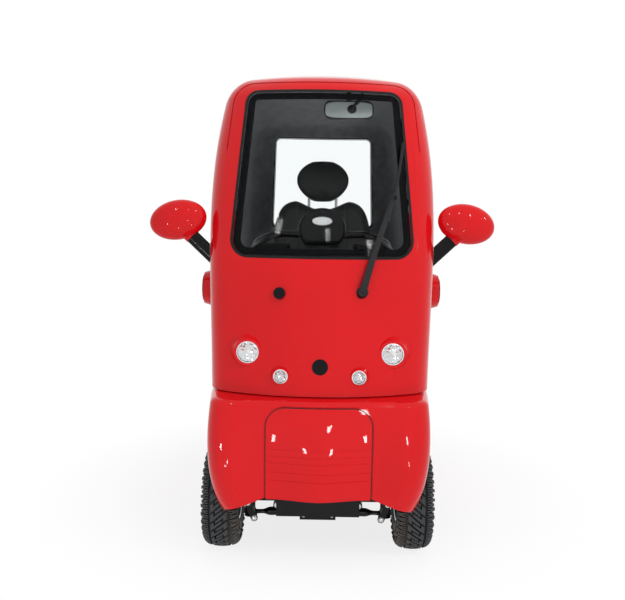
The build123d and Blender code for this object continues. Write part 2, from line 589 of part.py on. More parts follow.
for one in both(bar((KINGPIN_X, arm_y, ROD_Z0), (KINGPIN_X, arm_y, ROD_Z1), 14) + bar((KINGPIN_X, arm_y, ROD_Z1), (KINGPIN_X, arm_y, ARM_Z1 + 6), ROD_PIN_R)):
    rod = rod + one
parts["tie_rod"] = rod

print("wheels")
HUB_R = 24


def ring_x(r_out, r_in, x0, x1):
    """Ring about the wheel's axle."""
    return bar((x0, 0, 0), (x1, 0, 0), r_out) - bar((x0 - 1, 0, 0), (x1 + 1, 0, 0), r_in)


def tyre_shape():
    half = TYRE_W / 2
    profile = make_face(Polyline((RIM_SEAT_R + SEAT_GAP, -half + 8), (RIM_SEAT_R + 22, -half), (TYRE_R - 34, -half), (TYRE_R, -half + 16),
                                 (TYRE_R, half - 16), (TYRE_R - 34, half), (RIM_SEAT_R + 22, half), (RIM_SEAT_R + SEAT_GAP, half - 8), close=True))
    corners = profile.vertices().filter_by(lambda v: v.X > TYRE_R - 40)
    profile = fillet(corners.filter_by(lambda v: v.X > TYRE_R - 1), 10)
    profile = fillet(profile.vertices().filter_by(lambda v: abs(v.X - (TYRE_R - 34)) < 1), 20)
    return Rotation(0, 0, -90) * revolve(profile, Axis.Y)


tyre = tyre_shape()


def rim_shape():
    rim = ring_x(RIM_SEAT_R, RIM_SEAT_R - 5, -RIM_W / 2, RIM_W / 2)
    rim = rim + ring_x(RIM_SEAT_R - 2, HUB_R - 4, 18, 26)
    rim = rim + ring_x(HUB_R, STUB_R + RUN_FIT, -34, 34)
    for k in range(5):
        a = radians(72 * k)
        rim = rim - bar((0, 50 * cos(a), 50 * sin(a)), (60, 50 * cos(a), 50 * sin(a)), 13)
    return rim


rim = rim_shape()
WHEELS = {"front_left": (1, FRONT_AXLE_Y), "front_right": (-1, FRONT_AXLE_Y), "rear_left": (1, REAR_AXLE_Y), "rear_right": (-1, REAR_AXLE_Y)}
for name, (side, y) in WHEELS.items():
    place = Pos(side * WHEEL_X, y, AXLE_Z) * Rotation(0, 0, 0 if side > 0 else 180)
    parts["tyre_" + name] = place * tyre
    parts["rim_" + name] = place * rim

print("rear axle, seat and cabin fittings")
axle = bar((-WHEEL_X - 44, REAR_AXLE_Y, AXLE_Z), (WHEEL_X + 44, REAR_AXLE_Y, AXLE_Z), STUB_R)
axle = axle + bar((-222, REAR_AXLE_Y, AXLE_Z), (222, REAR_AXLE_Y, AXLE_Z), 28)
axle = axle + Pos(20, REAR_AXLE_Y, AXLE_Z) * Sphere(66)
axle = axle + bar((20, REAR_AXLE_Y - 145, AXLE_Z + 6), (20, REAR_AXLE_Y, AXLE_Z + 6), 48)
for one in both(block(RAIL_X - 14, RAIL_X + 14, 460 + SEAT_GAP, REAR_AXLE_Y, AXLE_Z - 15, AXLE_Z + 15)):
    axle = axle + one
parts["rear_axle"] = axle
SHOCK_X = 160
shock = bar((SHOCK_X, REAR_AXLE_Y, AXLE_Z + 28 + SEAT_GAP), (SHOCK_X, REAR_AXLE_Y + 10, 345), 9)
shock = shock + block(SHOCK_X - 14, SHOCK_X + 14, 541, 569, 338, 350 - SEAT_GAP)
shock = shock + bar((SHOCK_X, REAR_AXLE_Y + 3, 235), (SHOCK_X, REAR_AXLE_Y + 9, 330), 24)
parts["rear_shocks"] = both(shock)
parts["battery_box"] = fillet(block(-170, 170, 90, 300, RAIL_TOP_Z + SEAT_GAP, 390).edges().filter_by(Axis.Z), 15)

seat_base = block(-140, 140, 80, 340, DECK_Z + SEAT_GAP, SEAT_TOP_Z - SEAT_T - SEAT_GAP)
parts["seat_base"] = seat_base
cushion = Pos(0, SEAT_Y, SEAT_TOP_Z - SEAT_T / 2) * Box(SEAT_W, SEAT_D, SEAT_T)
parts["seat_cushion"] = fillet(cushion.edges(), 30)
BACK_TILT = 6
back_h = BACK_TOP_Z - SEAT_TOP_Z + 40
back_place = Pos(0, BACK_Y, SEAT_TOP_Z - 40) * Rotation(-BACK_TILT, 0, 0)
top_edge = [(x, back_h - drop) for x, drop in BACK_TOP]
top_edge = [(-x, z) for x, z in top_edge[:0:-1]] + top_edge
low_edge = [top_edge[0], (-BACK_W / 2, 0), (BACK_W / 2, 0), top_edge[-1]]
back_outline = make_face(Wire([Spline(*top_edge), *Polyline(*low_edge).edges()]))
back_outline = fillet(back_outline.vertices().filter_by(lambda v: v.Y < 1), 40)
back = extrude(Plane((0, BACK_T / 2, 0), x_dir=(1, 0, 0), z_dir=(0, -1, 0)) * back_outline, BACK_T, dir=(0, -1, 0))
parts["seat_back"] = back_place * fillet(back.edges(), 22)
posts = [back_place * bar((x, 0, back_h - 60), (x, 0, back_h + 60), 6) for x in (-POST_X, POST_X)]
rest = back_place * Pos(0, 0, back_h + 2 + HEADREST_H / 2) * Box(HEADREST_W, HEADREST_T, HEADREST_H)
rest = fillet(rest.edges().filter_by(lambda e: abs(e.length - HEADREST_T) < 1), 68)
rest = fillet(rest.edges().filter_by(lambda e: e.length > 20), 24)
holes = [back_place * bar((x, 0, back_h - 61), (x, 0, back_h + 62), 6 + SEAT_GAP) for x in (-POST_X, POST_X)]
parts["seat_back"] = parts["seat_back"] - holes[0] - holes[1]
parts["headrest"] = rest - holes[0] - holes[1]
parts["headrest_posts"] = posts
bracket = block(-100, 100, 340 + SEAT_GAP, 440, 572, 586) + back_place * block(-100, 100, BACK_T / 2 + SEAT_GAP, BACK_T / 2 + 8, -52, 120)
parts["seat_hinge"] = bracket

# Outer mirrors: an egg-shaped shell on a flat arm
MIRROR_X, MIRROR_Y, MIRROR_Z = 471, -482, 1056
MIRROR_W, MIRROR_H, MIRROR_D = 188, 130, 84
MIRROR_ROLL = 12
MIRROR_BACK = 30
MIRROR_RIM = 5
ARM_IN, ARM_OUT = (330, -496, 915), (424, -484, 1002)
ARM_W, ARM_T = 46, 22
at_mirror = Pos(MIRROR_X, MIRROR_Y, MIRROR_Z) * Rotation(0, MIRROR_ROLL, 0)


def egg_ring(y):
    """Ellipse where the egg-shaped shell is cut at a depth."""
    k = sqrt(1 - (2 * y / MIRROR_D) ** 2)
    return Plane((0, y, 0), x_dir=(1, 0, 0), z_dir=(0, -1, 0)) * Ellipse(MIRROR_W / 2 * k, MIRROR_H / 2 * k)


EGG_RINGS = [-0.49 * MIRROR_D, -37, -26, -8, 12, MIRROR_BACK]
egg = at_mirror * loft([egg_ring(y) for y in EGG_RINGS])
arm_way = Vector(*ARM_OUT) - Vector(*ARM_IN)
arm_plane = Plane(ARM_IN, x_dir=Vector(0, 1, 0), z_dir=arm_way)
mirror_arm = extrude(arm_plane * Ellipse(ARM_T / 2, ARM_W / 2), arm_way.length) - outside
neck_plane = Plane(ARM_OUT, x_dir=Vector(0, 1, 0), z_dir=arm_way)
neck = extrude(neck_plane * Pos(0, 0, SEAT_GAP) * Ellipse(ARM_T / 2 + 3, ARM_W / 2 + 2), 50)
socket = extrude(arm_plane * Ellipse(ARM_T / 2 + SEAT_GAP, ARM_W / 2 + SEAT_GAP), arm_way.length + SEAT_GAP)
mirror_head = egg + neck - socket
far = MIRROR_BACK - 3
glass_w = MIRROR_W / 2 * sqrt(1 - (2 * MIRROR_BACK / MIRROR_D) ** 2) - MIRROR_RIM
glass_h = MIRROR_H / 2 * sqrt(1 - (2 * MIRROR_BACK / MIRROR_D) ** 2) - MIRROR_RIM
glass_plane = Plane((0, far, 0), x_dir=(1, 0, 0), z_dir=(0, 1, 0))
mirror_head = mirror_head - at_mirror * extrude(glass_plane * Ellipse(glass_w + SEAT_GAP, glass_h + SEAT_GAP), 20, dir=(0, 1, 0))
glass = at_mirror * Pos(0, SEAT_GAP, 0) * extrude(glass_plane * Ellipse(glass_w, glass_h), 2, dir=(0, 1, 0))
parts["mirror_heads"] = both(mirror_head)
parts["mirror_arms"] = both(mirror_arm)
parts["mirror_glasses"] = both(glass)

inside = liner
room = block(70, 100, -330, -300, 1440, 1560) & inside
cabin_mirror = Pos(85, -322, 1435) * Box(170, 18, 62)
cabin_mirror = fillet(cabin_mirror.edges().filter_by(Axis.Y), 24)
cabin_mirror = cabin_mirror + (bar((85, -318, 1440), (85, -318, 1560), 8) & inside)
parts["cabin_mirror"] = cabin_mirror

HANDLE_X, HANDLE_IN = 269, 52
rod_low, rod_top = [(HANDLE_X, face_y(HANDLE_X, z) + WALL + HANDLE_IN, z) for z in (1123, 1401)]
handle = bar(rod_low, rod_top, 11) + Pos(*rod_low) * Sphere(11) + Pos(*rod_top) * Sphere(11)
for p in (rod_low, rod_top):
    q = (p[0] + 80, p[1] - 20, p[2])
    handle = handle + (bar(p, q, 11) & inside)
parts["grab_handle"] = handle

bumper = block(-300, 300, 700, 826, 300, 372)
bumper = fillet(bumper.edges().filter_by(Axis.Z), 60)
bumper = bumper - outside
parts["rear_bumper"] = bumper

os.makedirs("parts", exist_ok=True)
for name, shape in parts.items():
    solids = shape if isinstance(shape, list) else [shape]
    solids = [s for one in solids for s in one.solids()]
    export_step(Compound(children=solids) if len(solids) > 1 else solids[0], "parts/" + name + ".step")
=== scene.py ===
# %% [markdown]
# An enclosed mobility scooter: a red moulded cabin on four fat tyres.
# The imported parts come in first, each already in its place. Everything after this
# gives them their finish, or puts a finer piece where a plain one stood.

# %% Load the parts
import bpy
import bmesh
import json
import math
from mathutils import Matrix, Vector
from mathutils.bvhtree import BVHTree


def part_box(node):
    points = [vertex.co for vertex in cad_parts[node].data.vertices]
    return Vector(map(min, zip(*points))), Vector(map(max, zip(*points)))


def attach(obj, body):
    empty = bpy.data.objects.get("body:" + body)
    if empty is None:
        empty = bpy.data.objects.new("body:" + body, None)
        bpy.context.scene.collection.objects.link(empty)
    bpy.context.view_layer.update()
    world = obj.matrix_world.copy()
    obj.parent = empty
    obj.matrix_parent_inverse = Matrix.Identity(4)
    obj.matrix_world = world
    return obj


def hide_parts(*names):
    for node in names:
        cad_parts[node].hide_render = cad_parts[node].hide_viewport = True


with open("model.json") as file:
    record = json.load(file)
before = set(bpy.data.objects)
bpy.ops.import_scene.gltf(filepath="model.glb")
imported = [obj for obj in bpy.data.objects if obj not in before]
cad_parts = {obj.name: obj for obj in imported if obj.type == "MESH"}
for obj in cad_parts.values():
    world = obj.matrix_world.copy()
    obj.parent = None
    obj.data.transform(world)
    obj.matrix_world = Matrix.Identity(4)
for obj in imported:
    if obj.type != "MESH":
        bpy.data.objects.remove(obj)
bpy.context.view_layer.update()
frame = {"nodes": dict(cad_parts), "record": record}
nodes = frame["nodes"]
scene = bpy.context.scene
scene.view_settings.view_transform = "Standard"
MM = 0.001


def in_scene(name, data):
    """An object for a mesh, lamp or camera, linked to the scene."""
    thing = bpy.data.objects.new(name, data)
    scene.collection.objects.link(thing)
    return thing


# %% [markdown]
# The camera stands low and straight ahead, as in the photograph, and looks a little down.
# A camera can be aimed by hand or by a tracking rule. Here its angles are typed in,
# because they were worked out from the places of the wheels, roof and mirrors.

# %% Camera
LENS, LOOK_DOWN, ROLL = 45.41, 6.617, 0.9
SHIFT_PIXELS, FRAME_PIXELS = -8.5, 625
camera_data = bpy.data.cameras.new("camera")
camera_data.sensor_width = 36.0
camera_data.lens = LENS
camera_data.shift_x = SHIFT_PIXELS / FRAME_PIXELS
camera = in_scene("camera", camera_data)
camera.location = (0.0, -3.075, 1.0998)
tilt = Matrix.Rotation(math.radians(90 - LOOK_DOWN), 3, "X")
roll = Matrix.Rotation(math.radians(ROLL), 3, "Z")
camera.rotation_euler = (tilt @ roll).to_euler()
scene.camera = camera
print("camera lens", LENS, "height", round(camera.location.z, 3))

# %% [markdown]
# Every finish below is a small tree of shader nodes. A few helpers carry them all.
# Colours are read from a chart as sRGB hex values, but a shader works in linear light,
# so one function turns the first into the second. Another adds a node with its
# settings and links, so that each finish reads as a short list of nodes.

# %% Helpers for finishes
def linear(hex_colour):
    """An sRGB hex colour as the linear values that a shader wants."""
    values = [int(hex_colour[i:i + 2], 16) / 255 for i in (1, 3, 5)]
    return [v / 12.92 if v <= 0.04045 else ((v + 0.055) / 1.055) ** 2.4 for v in values] + [1.0]


def add(tree, kind, settings=None, links=None):
    """Adds a node with its settings and what feeds it, where a node means its first output.
    A kind without the word Node in it is a shader node."""
    node = tree.nodes.new(kind if "Node" in kind else "ShaderNode" + kind)
    for name, value in (settings or {}).items():
        if isinstance(name, int) or name in node.inputs:
            node.inputs[name].default_value = value
        else:
            setattr(node, name, value)
    for name, source in (links or {}).items():
        tree.links.new(getattr(source, "outputs", [source])[0], node.inputs[name])
    return node


def new_material(name):
    """An empty material, its tree, and the coordinates of the object that wears it."""
    material = bpy.data.materials.new(name)
    material.use_nodes = True
    tree = material.node_tree
    tree.nodes.clear()
    return material, tree, add(tree, "TexCoord").outputs["Object"]


def surfaced(material, shader):
    """The material, with the shader that its surface shows."""
    add(material.node_tree, "OutputMaterial", None, {"Surface": shader})
    return material


def opaque(material, settings, colour, dull, bump, **more):
    """The material as a Principled surface, with its colour mix, roughness and bump."""
    links = {"Base Color": colour.outputs[2], "Roughness": dull, "Normal": bump, **more}
    return surfaced(material, add(material.node_tree, "BsdfPrincipled", settings, links))


def tones(first, second):
    """Settings of a mix of two colours."""
    return {"data_type": "RGBA", 6: linear(first), 7: linear(second)}


def per_mm(size):
    """The scale of a pattern whose marks are this many millimetres wide."""
    return 1000.0 / size


print("mid grey in linear light:", [round(v, 3) for v in linear("#808080")])

# %% [markdown]
# The studio is white all round. The floor is a pale sheet that still takes a shadow.
# It could be a shadow catcher, but that would leave the picture's ground empty. Here the
# floor shows mostly its own white to the camera, to mirrors and through glass, by the
# Light Path node. Only near the wheels is a share of it lit card, which the shadow darkens.

# %% Air and floor
def white_for_the_eye(tree):
    """1 for rays that reach the eye straight, by a mirror or through glass."""
    path = add(tree, "LightPath").outputs
    seen = add(tree, "Math", {"operation": "MAXIMUM"},
               {0: path["Is Camera Ray"], 1: path["Is Glossy Ray"]})
    return add(tree, "Math", {"operation": "MAXIMUM"}, {0: seen, 1: path["Is Transmission Ray"]})


def as_mesh(name, bm):
    """The mesh that was built, ready for an object."""
    mesh = bpy.data.meshes.new(name)
    bm.to_mesh(mesh)
    bm.free()
    return mesh


scene.world = bpy.data.worlds.new("studio_air")
scene.world.use_nodes = True
tree = scene.world.node_tree
tree.nodes.clear()
air = add(tree, "Background", {"Color": (0.92, 0.95, 1.0, 1), "Strength": 0.42})
white = add(tree, "Background", {"Color": (1, 1, 1, 1), "Strength": 1.0})
mix = add(tree, "MixShader", None, {0: white_for_the_eye(tree), 1: air, 2: white})
add(tree, "OutputWorld", None, {"Surface": mix})

FLOOR_SIZE, FLOOR_DROP = 30.0, 0.0005
FLOOR_SHADE, SHADE_FROM, SHADE_TO = 0.19, 0.50, 1.20
card, tree, place = new_material("studio_card_white")
grain = add(tree, "TexNoise", {"Scale": per_mm(40), "Detail": 2.0}, {"Vector": place})
bump = add(tree, "Bump", {"Strength": 0.02}, {"Height": grain})
own = add(tree, "Emission", {"Color": (1, 1, 1, 1), "Strength": 1.0})
lit = add(tree, "BsdfDiffuse", {"Color": linear("#F4F4F4")}, {"Normal": bump})
away = add(tree, "VectorMath", {"operation": "LENGTH"}, {0: place}).outputs["Value"]
own_share = add(tree, "MapRange", {"interpolation_type": "SMOOTHSTEP", "From Min": SHADE_FROM,
                                   "From Max": SHADE_TO, "To Min": 1.0 - FLOOR_SHADE},
                {"Value": away})
share = add(tree, "Math", {"operation": "MULTIPLY"}, {0: white_for_the_eye(tree), 1: own_share})
surfaced(card, add(tree, "MixShader", None, {0: share, 1: lit, 2: own}))

sheet = bmesh.new()
bmesh.ops.create_grid(sheet, x_segments=1, y_segments=1, size=FLOOR_SIZE / 2)
floor_mesh = as_mesh("studio_floor", sheet)
floor_mesh.transform(Matrix.Translation((0, 0, -FLOOR_DROP)))
floor_mesh.materials.append(card)
studio_floor = in_scene("studio_floor", floor_mesh)
print("floor", FLOOR_SIZE, "m")

# %% [markdown]
# The paint in the photograph carries small hard highlights over an even light. So there
# are two kinds of lamp. Large softboxes only lift the colour, so they are kept out of
# reflections. Small bare heads, which are placed later, give the white sparks.

# %% Lamps
def lamp(name, place, aim, size, power, mirrored_too=False):
    """An area lamp aimed at a point, seen in reflections only where that is wanted."""
    data = bpy.data.lights.new(name, "AREA")
    data.shape = "RECTANGLE"
    data.size, data.size_y = size
    data.energy = power
    light = in_scene(name, data)
    light.location = place
    light.rotation_euler = (Vector(aim) - Vector(place)).to_track_quat("-Z", "Y").to_euler()
    light.visible_glossy = mirrored_too
    light.visible_camera = False


lamp("key_softbox", (3.0, -3.0, 3.0), (0, -0.4, 0.8), (0.9, 0.9), 58)
lamp("fill_softbox", (-3.4, -3.0, 2.2), (0, -0.3, 0.8), (1.6, 1.6), 12)
lamp("top_softbox", (0, -0.4, 4.4), (0, -0.2, 1), (2.6, 2.6), 46)
lamp("back_softbox", (0, 4.2, 2.6), (0, 0.5, 0.9), (2.4, 1.8), 60)
print("softboxes", len(bpy.data.lights))

# %% [markdown]
# The cabin, cowl and doors are glass-fibre laminate with a polished polyester gelcoat.
# To the eye that is one deep colour, a hard clear skin over it, and a very slow ripple
# where the laminate shrank on to its mat. A Principled shader with a coat gives the
# skin, and two bumps of very different size give the ripple and the fine orange peel.

# %% Gelcoat
def gelcoat(name, light_tone, dark_tone):
    """Polished gelcoat: even colour, faint ripple, clear hard skin."""
    material, tree, place = new_material(name)
    slow = add(tree, "TexNoise", {"Scale": per_mm(260), "Detail": 1.0}, {"Vector": place})
    fine = add(tree, "TexNoise", {"Scale": per_mm(5), "Detail": 2.0}, {"Vector": place})
    tone = add(tree, "Mix", tones(dark_tone, light_tone), {0: slow})
    ripple = add(tree, "Bump", {"Strength": 0.05, "Distance": 0.004}, {"Height": slow})
    peel = add(tree, "Bump", {"Strength": 0.015, "Distance": 0.0006},
               {"Height": fine, "Normal": ripple})
    dull = add(tree, "MapRange", {"To Min": 0.30, "To Max": 0.38}, {"Value": fine})
    settings = {"IOR": 1.5, "Specular IOR Level": 0.02, "Coat Weight": 1.0,
                "Coat Roughness": 0.015, "Coat IOR": 1.30}
    return opaque(material, settings, tone, dull, peel, **{"Coat Normal": ripple})


red = gelcoat("polished_gelcoat_red", "#D80E15", "#CC0A12")
print("made", red.name)

# %% [markdown]
# Most of the dark parts differ only in how they were made. Moulded ABS keeps the spark
# eroded grain of its tool, enamel on steel flows out glossy, cast alloy is finely
# pitted, and rubber is dull. One function takes the size of that grain and how deep
# it is, and mixes two close tones, because a single flat colour looks like a drawing.

# %% Grained finishes
def grained(name, tone, second, roughness, grain_mm, depth_mm,
            metallic=0.0, coat=0.0, sheen=0.0, ior=1.5, spread_mm=60):
    """A finish with a fine grain in its bump and roughness, and a slow change of tone."""
    material, tree, place = new_material(name)
    slow = add(tree, "TexNoise", {"Scale": per_mm(spread_mm), "Detail": 3.0}, {"Vector": place})
    fine = add(tree, "TexNoise", {"Scale": per_mm(grain_mm), "Detail": 3.0, "Roughness": 0.6},
               {"Vector": place})
    both = add(tree, "Math", {"operation": "MULTIPLY"}, {0: slow, 1: fine})
    amount = add(tree, "MapRange", {"From Min": 0.12, "From Max": 0.40}, {"Value": both})
    colour = add(tree, "Mix", tones(tone, second), {0: amount})
    bump = add(tree, "Bump", {"Strength": 0.6, "Distance": depth_mm * MM}, {"Height": fine})
    dull = add(tree, "MapRange", {"To Min": roughness * 0.8, "To Max": min(1.0, roughness * 1.2)},
               {"Value": fine})
    settings = {"Metallic": metallic, "Coat Weight": coat, "Coat Roughness": 0.08,
                "Sheen Weight": sheen}
    if metallic == 0.0:
        settings["IOR"] = ior
    return opaque(material, settings, colour, dull, bump)


METAL = {"metallic": 1.0}
enamel = grained("gloss_enamel_on_steel_black", "#070708", "#111112", 0.26, 3.0, 0.10, ior=1.30)
abs_grain = grained("moulded_abs_grained_black", "#101011", "#1B1B1D", 0.46, 0.9, 0.10, ior=1.36)
abs_gloss = grained("polished_abs_black", "#050506", "#0B0B0C", 0.16, 6.0, 0.02, ior=1.26)
pale_back_grey = grained("pale_grey_mirror_back", "#9EA4A3", "#B4B9B8", 0.42, 1.2, 0.06)
rubber = grained("moulded_rubber_black", "#0B0B0C", "#151516", 0.62, 1.5, 0.08, ior=1.34)
alloy = grained("cast_aluminium_lacquered", "#A9ABAE", "#C2C4C6", 0.34, 1.4, 0.06, coat=0.3,
                **METAL)
zinc = grained("zinc_plated_steel", "#B4B6B4", "#D2D3D0", 0.30, 2.0, 0.04, **METAL)
chrome = grained("vacuum_metallised_reflector", "#CFD1D3", "#E4E6E8", 0.14, 8.0, 0.02, **METAL)
fired = grained("fired_ceramic_border_black", "#050506", "#08080A", 0.50, 3.0, 0.01, ior=1.08)
silvering = grained("silvered_mirror_glass", "#DDE0E2", "#E6E8EA", 0.02, 30.0, 0.005, **METAL)
white_print = grained("pad_printed_white", "#E9E9E6", "#F1F1EF", 0.35, 2.0, 0.02)
felt = grained("needle_felt_headliner_grey", "#7C7E80", "#989A9C", 0.92, 1.6, 0.45,
               sheen=0.25, spread_mm=35)
tub_floor = grained("grained_abs_floor_dark_grey", "#1B1C1E", "#29292B", 0.60, 1.4, 0.20)
tail_red = grained("dyed_acrylic_red", "#7E070B", "#A0100F", 0.12, 3.0, 0.03, coat=0.8, ior=1.49)
amber = grained("dyed_acrylic_amber", "#B8500A", "#CC6412", 0.14, 3.0, 0.03, coat=0.8, ior=1.49)
print("finishes so far:", len(bpy.data.materials))

# %% [markdown]
# Glass is hard to show, because it is mostly what lies behind it. The panes are clear
# acrylic, so straight rays pass with a light tint, and only the Fresnel share is turned
# into a reflection. That is quicker than true refraction, and in a thin pane it looks the same.
# Only the face that is turned to the eye reflects: light that leaves a real pane again isn't
# held back, while a bare Fresnel share would make the far face a black mirror at a flat angle.

# %% Clear sheet
def clear_sheet(name, tint, roughness, index):
    """A thin clear pane: tinted light passes, and the Fresnel share reflects."""
    material, tree, place = new_material(name)
    flow = add(tree, "TexNoise", {"Scale": per_mm(180), "Detail": 1.0}, {"Vector": place})
    bump = add(tree, "Bump", {"Strength": 0.03, "Distance": 0.003}, {"Height": flow})
    through = add(tree, "BsdfTransparent", {"Color": linear(tint)})
    shine = add(tree, "BsdfGlossy", {"Color": linear("#F4F6F6"), "Roughness": roughness},
                {"Normal": bump})
    fresnel = add(tree, "Fresnel", {"IOR": index}, {"Normal": bump})
    turned_away = add(tree, "NewGeometry").outputs["Backfacing"]
    towards = add(tree, "Math", {"operation": "SUBTRACT", 0: 1.0}, {1: turned_away})
    amount = add(tree, "Math", {"operation": "MULTIPLY"}, {0: fresnel, 1: towards})
    return surfaced(material, add(tree, "MixShader", None, {0: amount, 1: through, 2: shine}))


pane = clear_sheet("cast_acrylic_clear", "#FDFEFE", 0.03, 1.15)
lens = clear_sheet("polycarbonate_lens_clear", "#FEFEFE", 0.04, 1.30)
print("made", pane.name, lens.name)

# %% [markdown]
# The seat is covered in coated knit, which the trade calls vinyl. It has a leather-like
# grain of small cells. A Voronoi pattern at the size of those cells gives the bump.

# %% Seat cover
def seat_cover():
    """Coated knit with a pressed leather grain."""
    material, tree, place = new_material("vinyl_coated_knit_black")
    cells = add(tree, "TexVoronoi", {"feature": "DISTANCE_TO_EDGE", "Scale": per_mm(2.6)},
                {"Vector": place}).outputs["Distance"]
    crease = add(tree, "MapRange", {"From Max": 0.22}, {"Value": cells})
    wear = add(tree, "TexNoise", {"Scale": per_mm(70), "Detail": 4.0}, {"Vector": place})
    tone = add(tree, "Mix", tones("#141415", "#222224"), {0: wear})
    bump = add(tree, "Bump", {"Strength": 0.35, "Distance": 0.0004}, {"Height": crease})
    dull = add(tree, "MapRange", {"To Min": 0.62, "To Max": 0.48}, {"Value": crease})
    return opaque(material, {"Sheen Weight": 0.15, "IOR": 1.5}, tone, dull, bump)


vinyl = seat_cover()
print("made", vinyl.name)

# %% [markdown]
# A tyre is dull carbon-black rubber, and here the shoulders that face the chassis carry
# dry brown dust. The tops of its blocks are greyer than the grooves: partly wear, and partly
# painted light on the tops against the grooves' shade. The dust depends on the distance from the
# middle of the scooter, and the lighter tops on an attribute that the tread's mesh carries: how
# high each point stands over the carcass.

# %% Tyre rubber
DUST_STARTS, DUST_FULL = 0.300, 0.262


def tyre_rubber():
    """Rubber with lighter block tops, partly wear and partly painted light, and dust on the inner
    shoulder.
    """
    material, tree, place = new_material("vulcanised_rubber_black")
    x = add(tree, "SeparateXYZ", None, {0: place}).outputs["X"]
    across = add(tree, "Math", {"operation": "ABSOLUTE"}, {0: x})
    inner = add(tree, "MapRange", {"From Min": DUST_STARTS, "From Max": DUST_FULL},
                {"Value": across})
    patch = add(tree, "TexNoise", {"Scale": per_mm(22), "Detail": 5.0, "Roughness": 0.65},
                {"Vector": place})
    patches = add(tree, "MapRange", {"From Min": 0.42, "From Max": 0.72}, {"Value": patch})
    dust = add(tree, "Math", {"operation": "MULTIPLY"}, {0: inner, 1: patches})
    # Lighter block tops over the plain dark rubber of the grooves: partly wear, partly painted
    # light and shade.
    height = add(tree, "Attribute", {"attribute_name": "tread_height"}).outputs["Fac"]
    raised = add(tree, "MapRange", {"From Min": 0.35, "From Max": 0.85}, {"Value": height})
    worn_and_lit_tops = add(tree, "Mix", tones("#26282A", "#3A3C3E"), {0: patch}).outputs[2]
    tops_wear_and_light = add(tree, "Mix", {"data_type": "RGBA", 6: linear("#0B0B0C")}, {0: raised, 7: worn_and_lit_tops})
    tone = add(tree, "Mix", {"data_type": "RGBA", 7: linear("#5A4A3A")},
               {0: dust, 6: tops_wear_and_light.outputs[2]})
    fine = add(tree, "TexNoise", {"Scale": per_mm(1.2), "Detail": 2.0}, {"Vector": place})
    bump = add(tree, "Bump", {"Strength": 0.5, "Distance": 0.0002}, {"Height": fine})
    dull = add(tree, "MapRange", {"To Min": 0.55, "To Max": 0.85}, {"Value": patch})
    return opaque(material, {"IOR": 1.52}, tone, dull, bump)


rubber_tread = tyre_rubber()
print("made", rubber_tread.name)

# %% [markdown]
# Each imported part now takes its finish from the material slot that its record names.
# A few parts of one slot differ on the real object, so they are named one by one.

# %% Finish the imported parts
BY_SLOT = {"red_paint": red, "glass": pane, "lens": lens, "black_rubber": rubber,
           "chrome": chrome, "red_lens": tail_red, "black_plastic": abs_gloss,
           "black_metal": enamel, "grey_plastic": tub_floor, "white_plastic": white_print,
           "seat_vinyl": vinyl, "steel": zinc, "mirror": silvering, "tyre": rubber_tread,
           "silver_rim": alloy}
OF_GRAINED_ABS = ("wiper", "battery_box", "tiller_stem", "cabin_mirror", "steering_column",
                  "seat_base")
slot_of = {entry["node"]: entry["material_slot"] for entry in frame["record"]["subparts"]}
for name, part in nodes.items():
    part.data.materials.clear()
    part.data.materials.append(abs_grain if name in OF_GRAINED_ABS else BY_SLOT[slot_of[name]])
print("finishes on", len(nodes), "parts")

# %% [markdown]
# New pieces are built in mesh code, and a few small helpers serve all of them. One turns a
# finished mesh into a piece that rides on a body. One joins rings of points into a skin,
# which makes tubes, domes and bowls. One turns a profile about an axis, and one sweeps a
# section along a smooth line.

# %% Helpers for pieces
def settle(name, mesh, material, body="chassis", smooth=35):
    """Makes a mesh a finished piece: clean, facing outwards, with its finish and body."""
    bm = mesh
    if not isinstance(mesh, bmesh.types.BMesh):
        bm = bmesh.new()
        bm.from_mesh(mesh)
    bmesh.ops.remove_doubles(bm, verts=bm.verts, dist=0.00001)
    bmesh.ops.recalc_face_normals(bm, faces=bm.faces)
    clean = as_mesh(name, bm)
    clean.materials.clear()
    clean.materials.append(material)
    clean.shade_smooth()
    clean.set_sharp_from_angle(angle=math.radians(smooth))
    part = in_scene(name, clean)
    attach(part, body)
    return part


def skin(bm, rings, caps=True):
    """Faces between closed rings of points, and a cap on each end."""
    made = [[bm.verts.new(point) for point in ring] for ring in rings]
    for low, high in zip(made, made[1:]):
        for k in range(len(low)):
            j = (k + 1) % len(low)
            bm.faces.new((low[k], low[j], high[j], high[k]))
    if caps:
        bm.faces.new(made[0])
        bm.faces.new(made[-1][::-1])


def circle(steps, power=1.0, lead=0.0):
    """Points (u, v) of a unit circle, or of a squarer round where the power is below 1."""
    angles = [2 * math.pi * (k + lead) / steps for k in range(steps)]
    return [[math.copysign(abs(f(a)) ** power, f(a)) for f in (math.cos, math.sin)] for a in angles]


def turned(bm, profile, at, axis, steps=48, caps=True):
    """A profile of (along, radius) pairs turned about an axis through a point."""
    turn = Vector(axis).to_track_quat("Z", "Y")
    skin(bm, [[Vector(at) + turn @ Vector((r * u, r * v, along)) for u, v in circle(steps)]
              for along, r in profile], caps)


def smooth_line(points, parts=6, origin=(0, 0, 0)):
    """A Catmull-Rom line through points that are given from an origin."""
    line = [Vector(origin) + Vector(p) for p in points]
    line = [2 * line[0] - line[1]] + line + [2 * line[-1] - line[-2]]
    found = []
    for a, b, c, d in zip(line, line[1:], line[2:], line[3:]):
        for t in (k / parts for k in range(parts)):
            found.append(0.5 * (2 * b + (c - a) * t + (2 * a - 5 * b + 4 * c - d) * t * t
                                + (3 * b - a - 3 * c + d) * t ** 3))
    return found + [line[-2]]


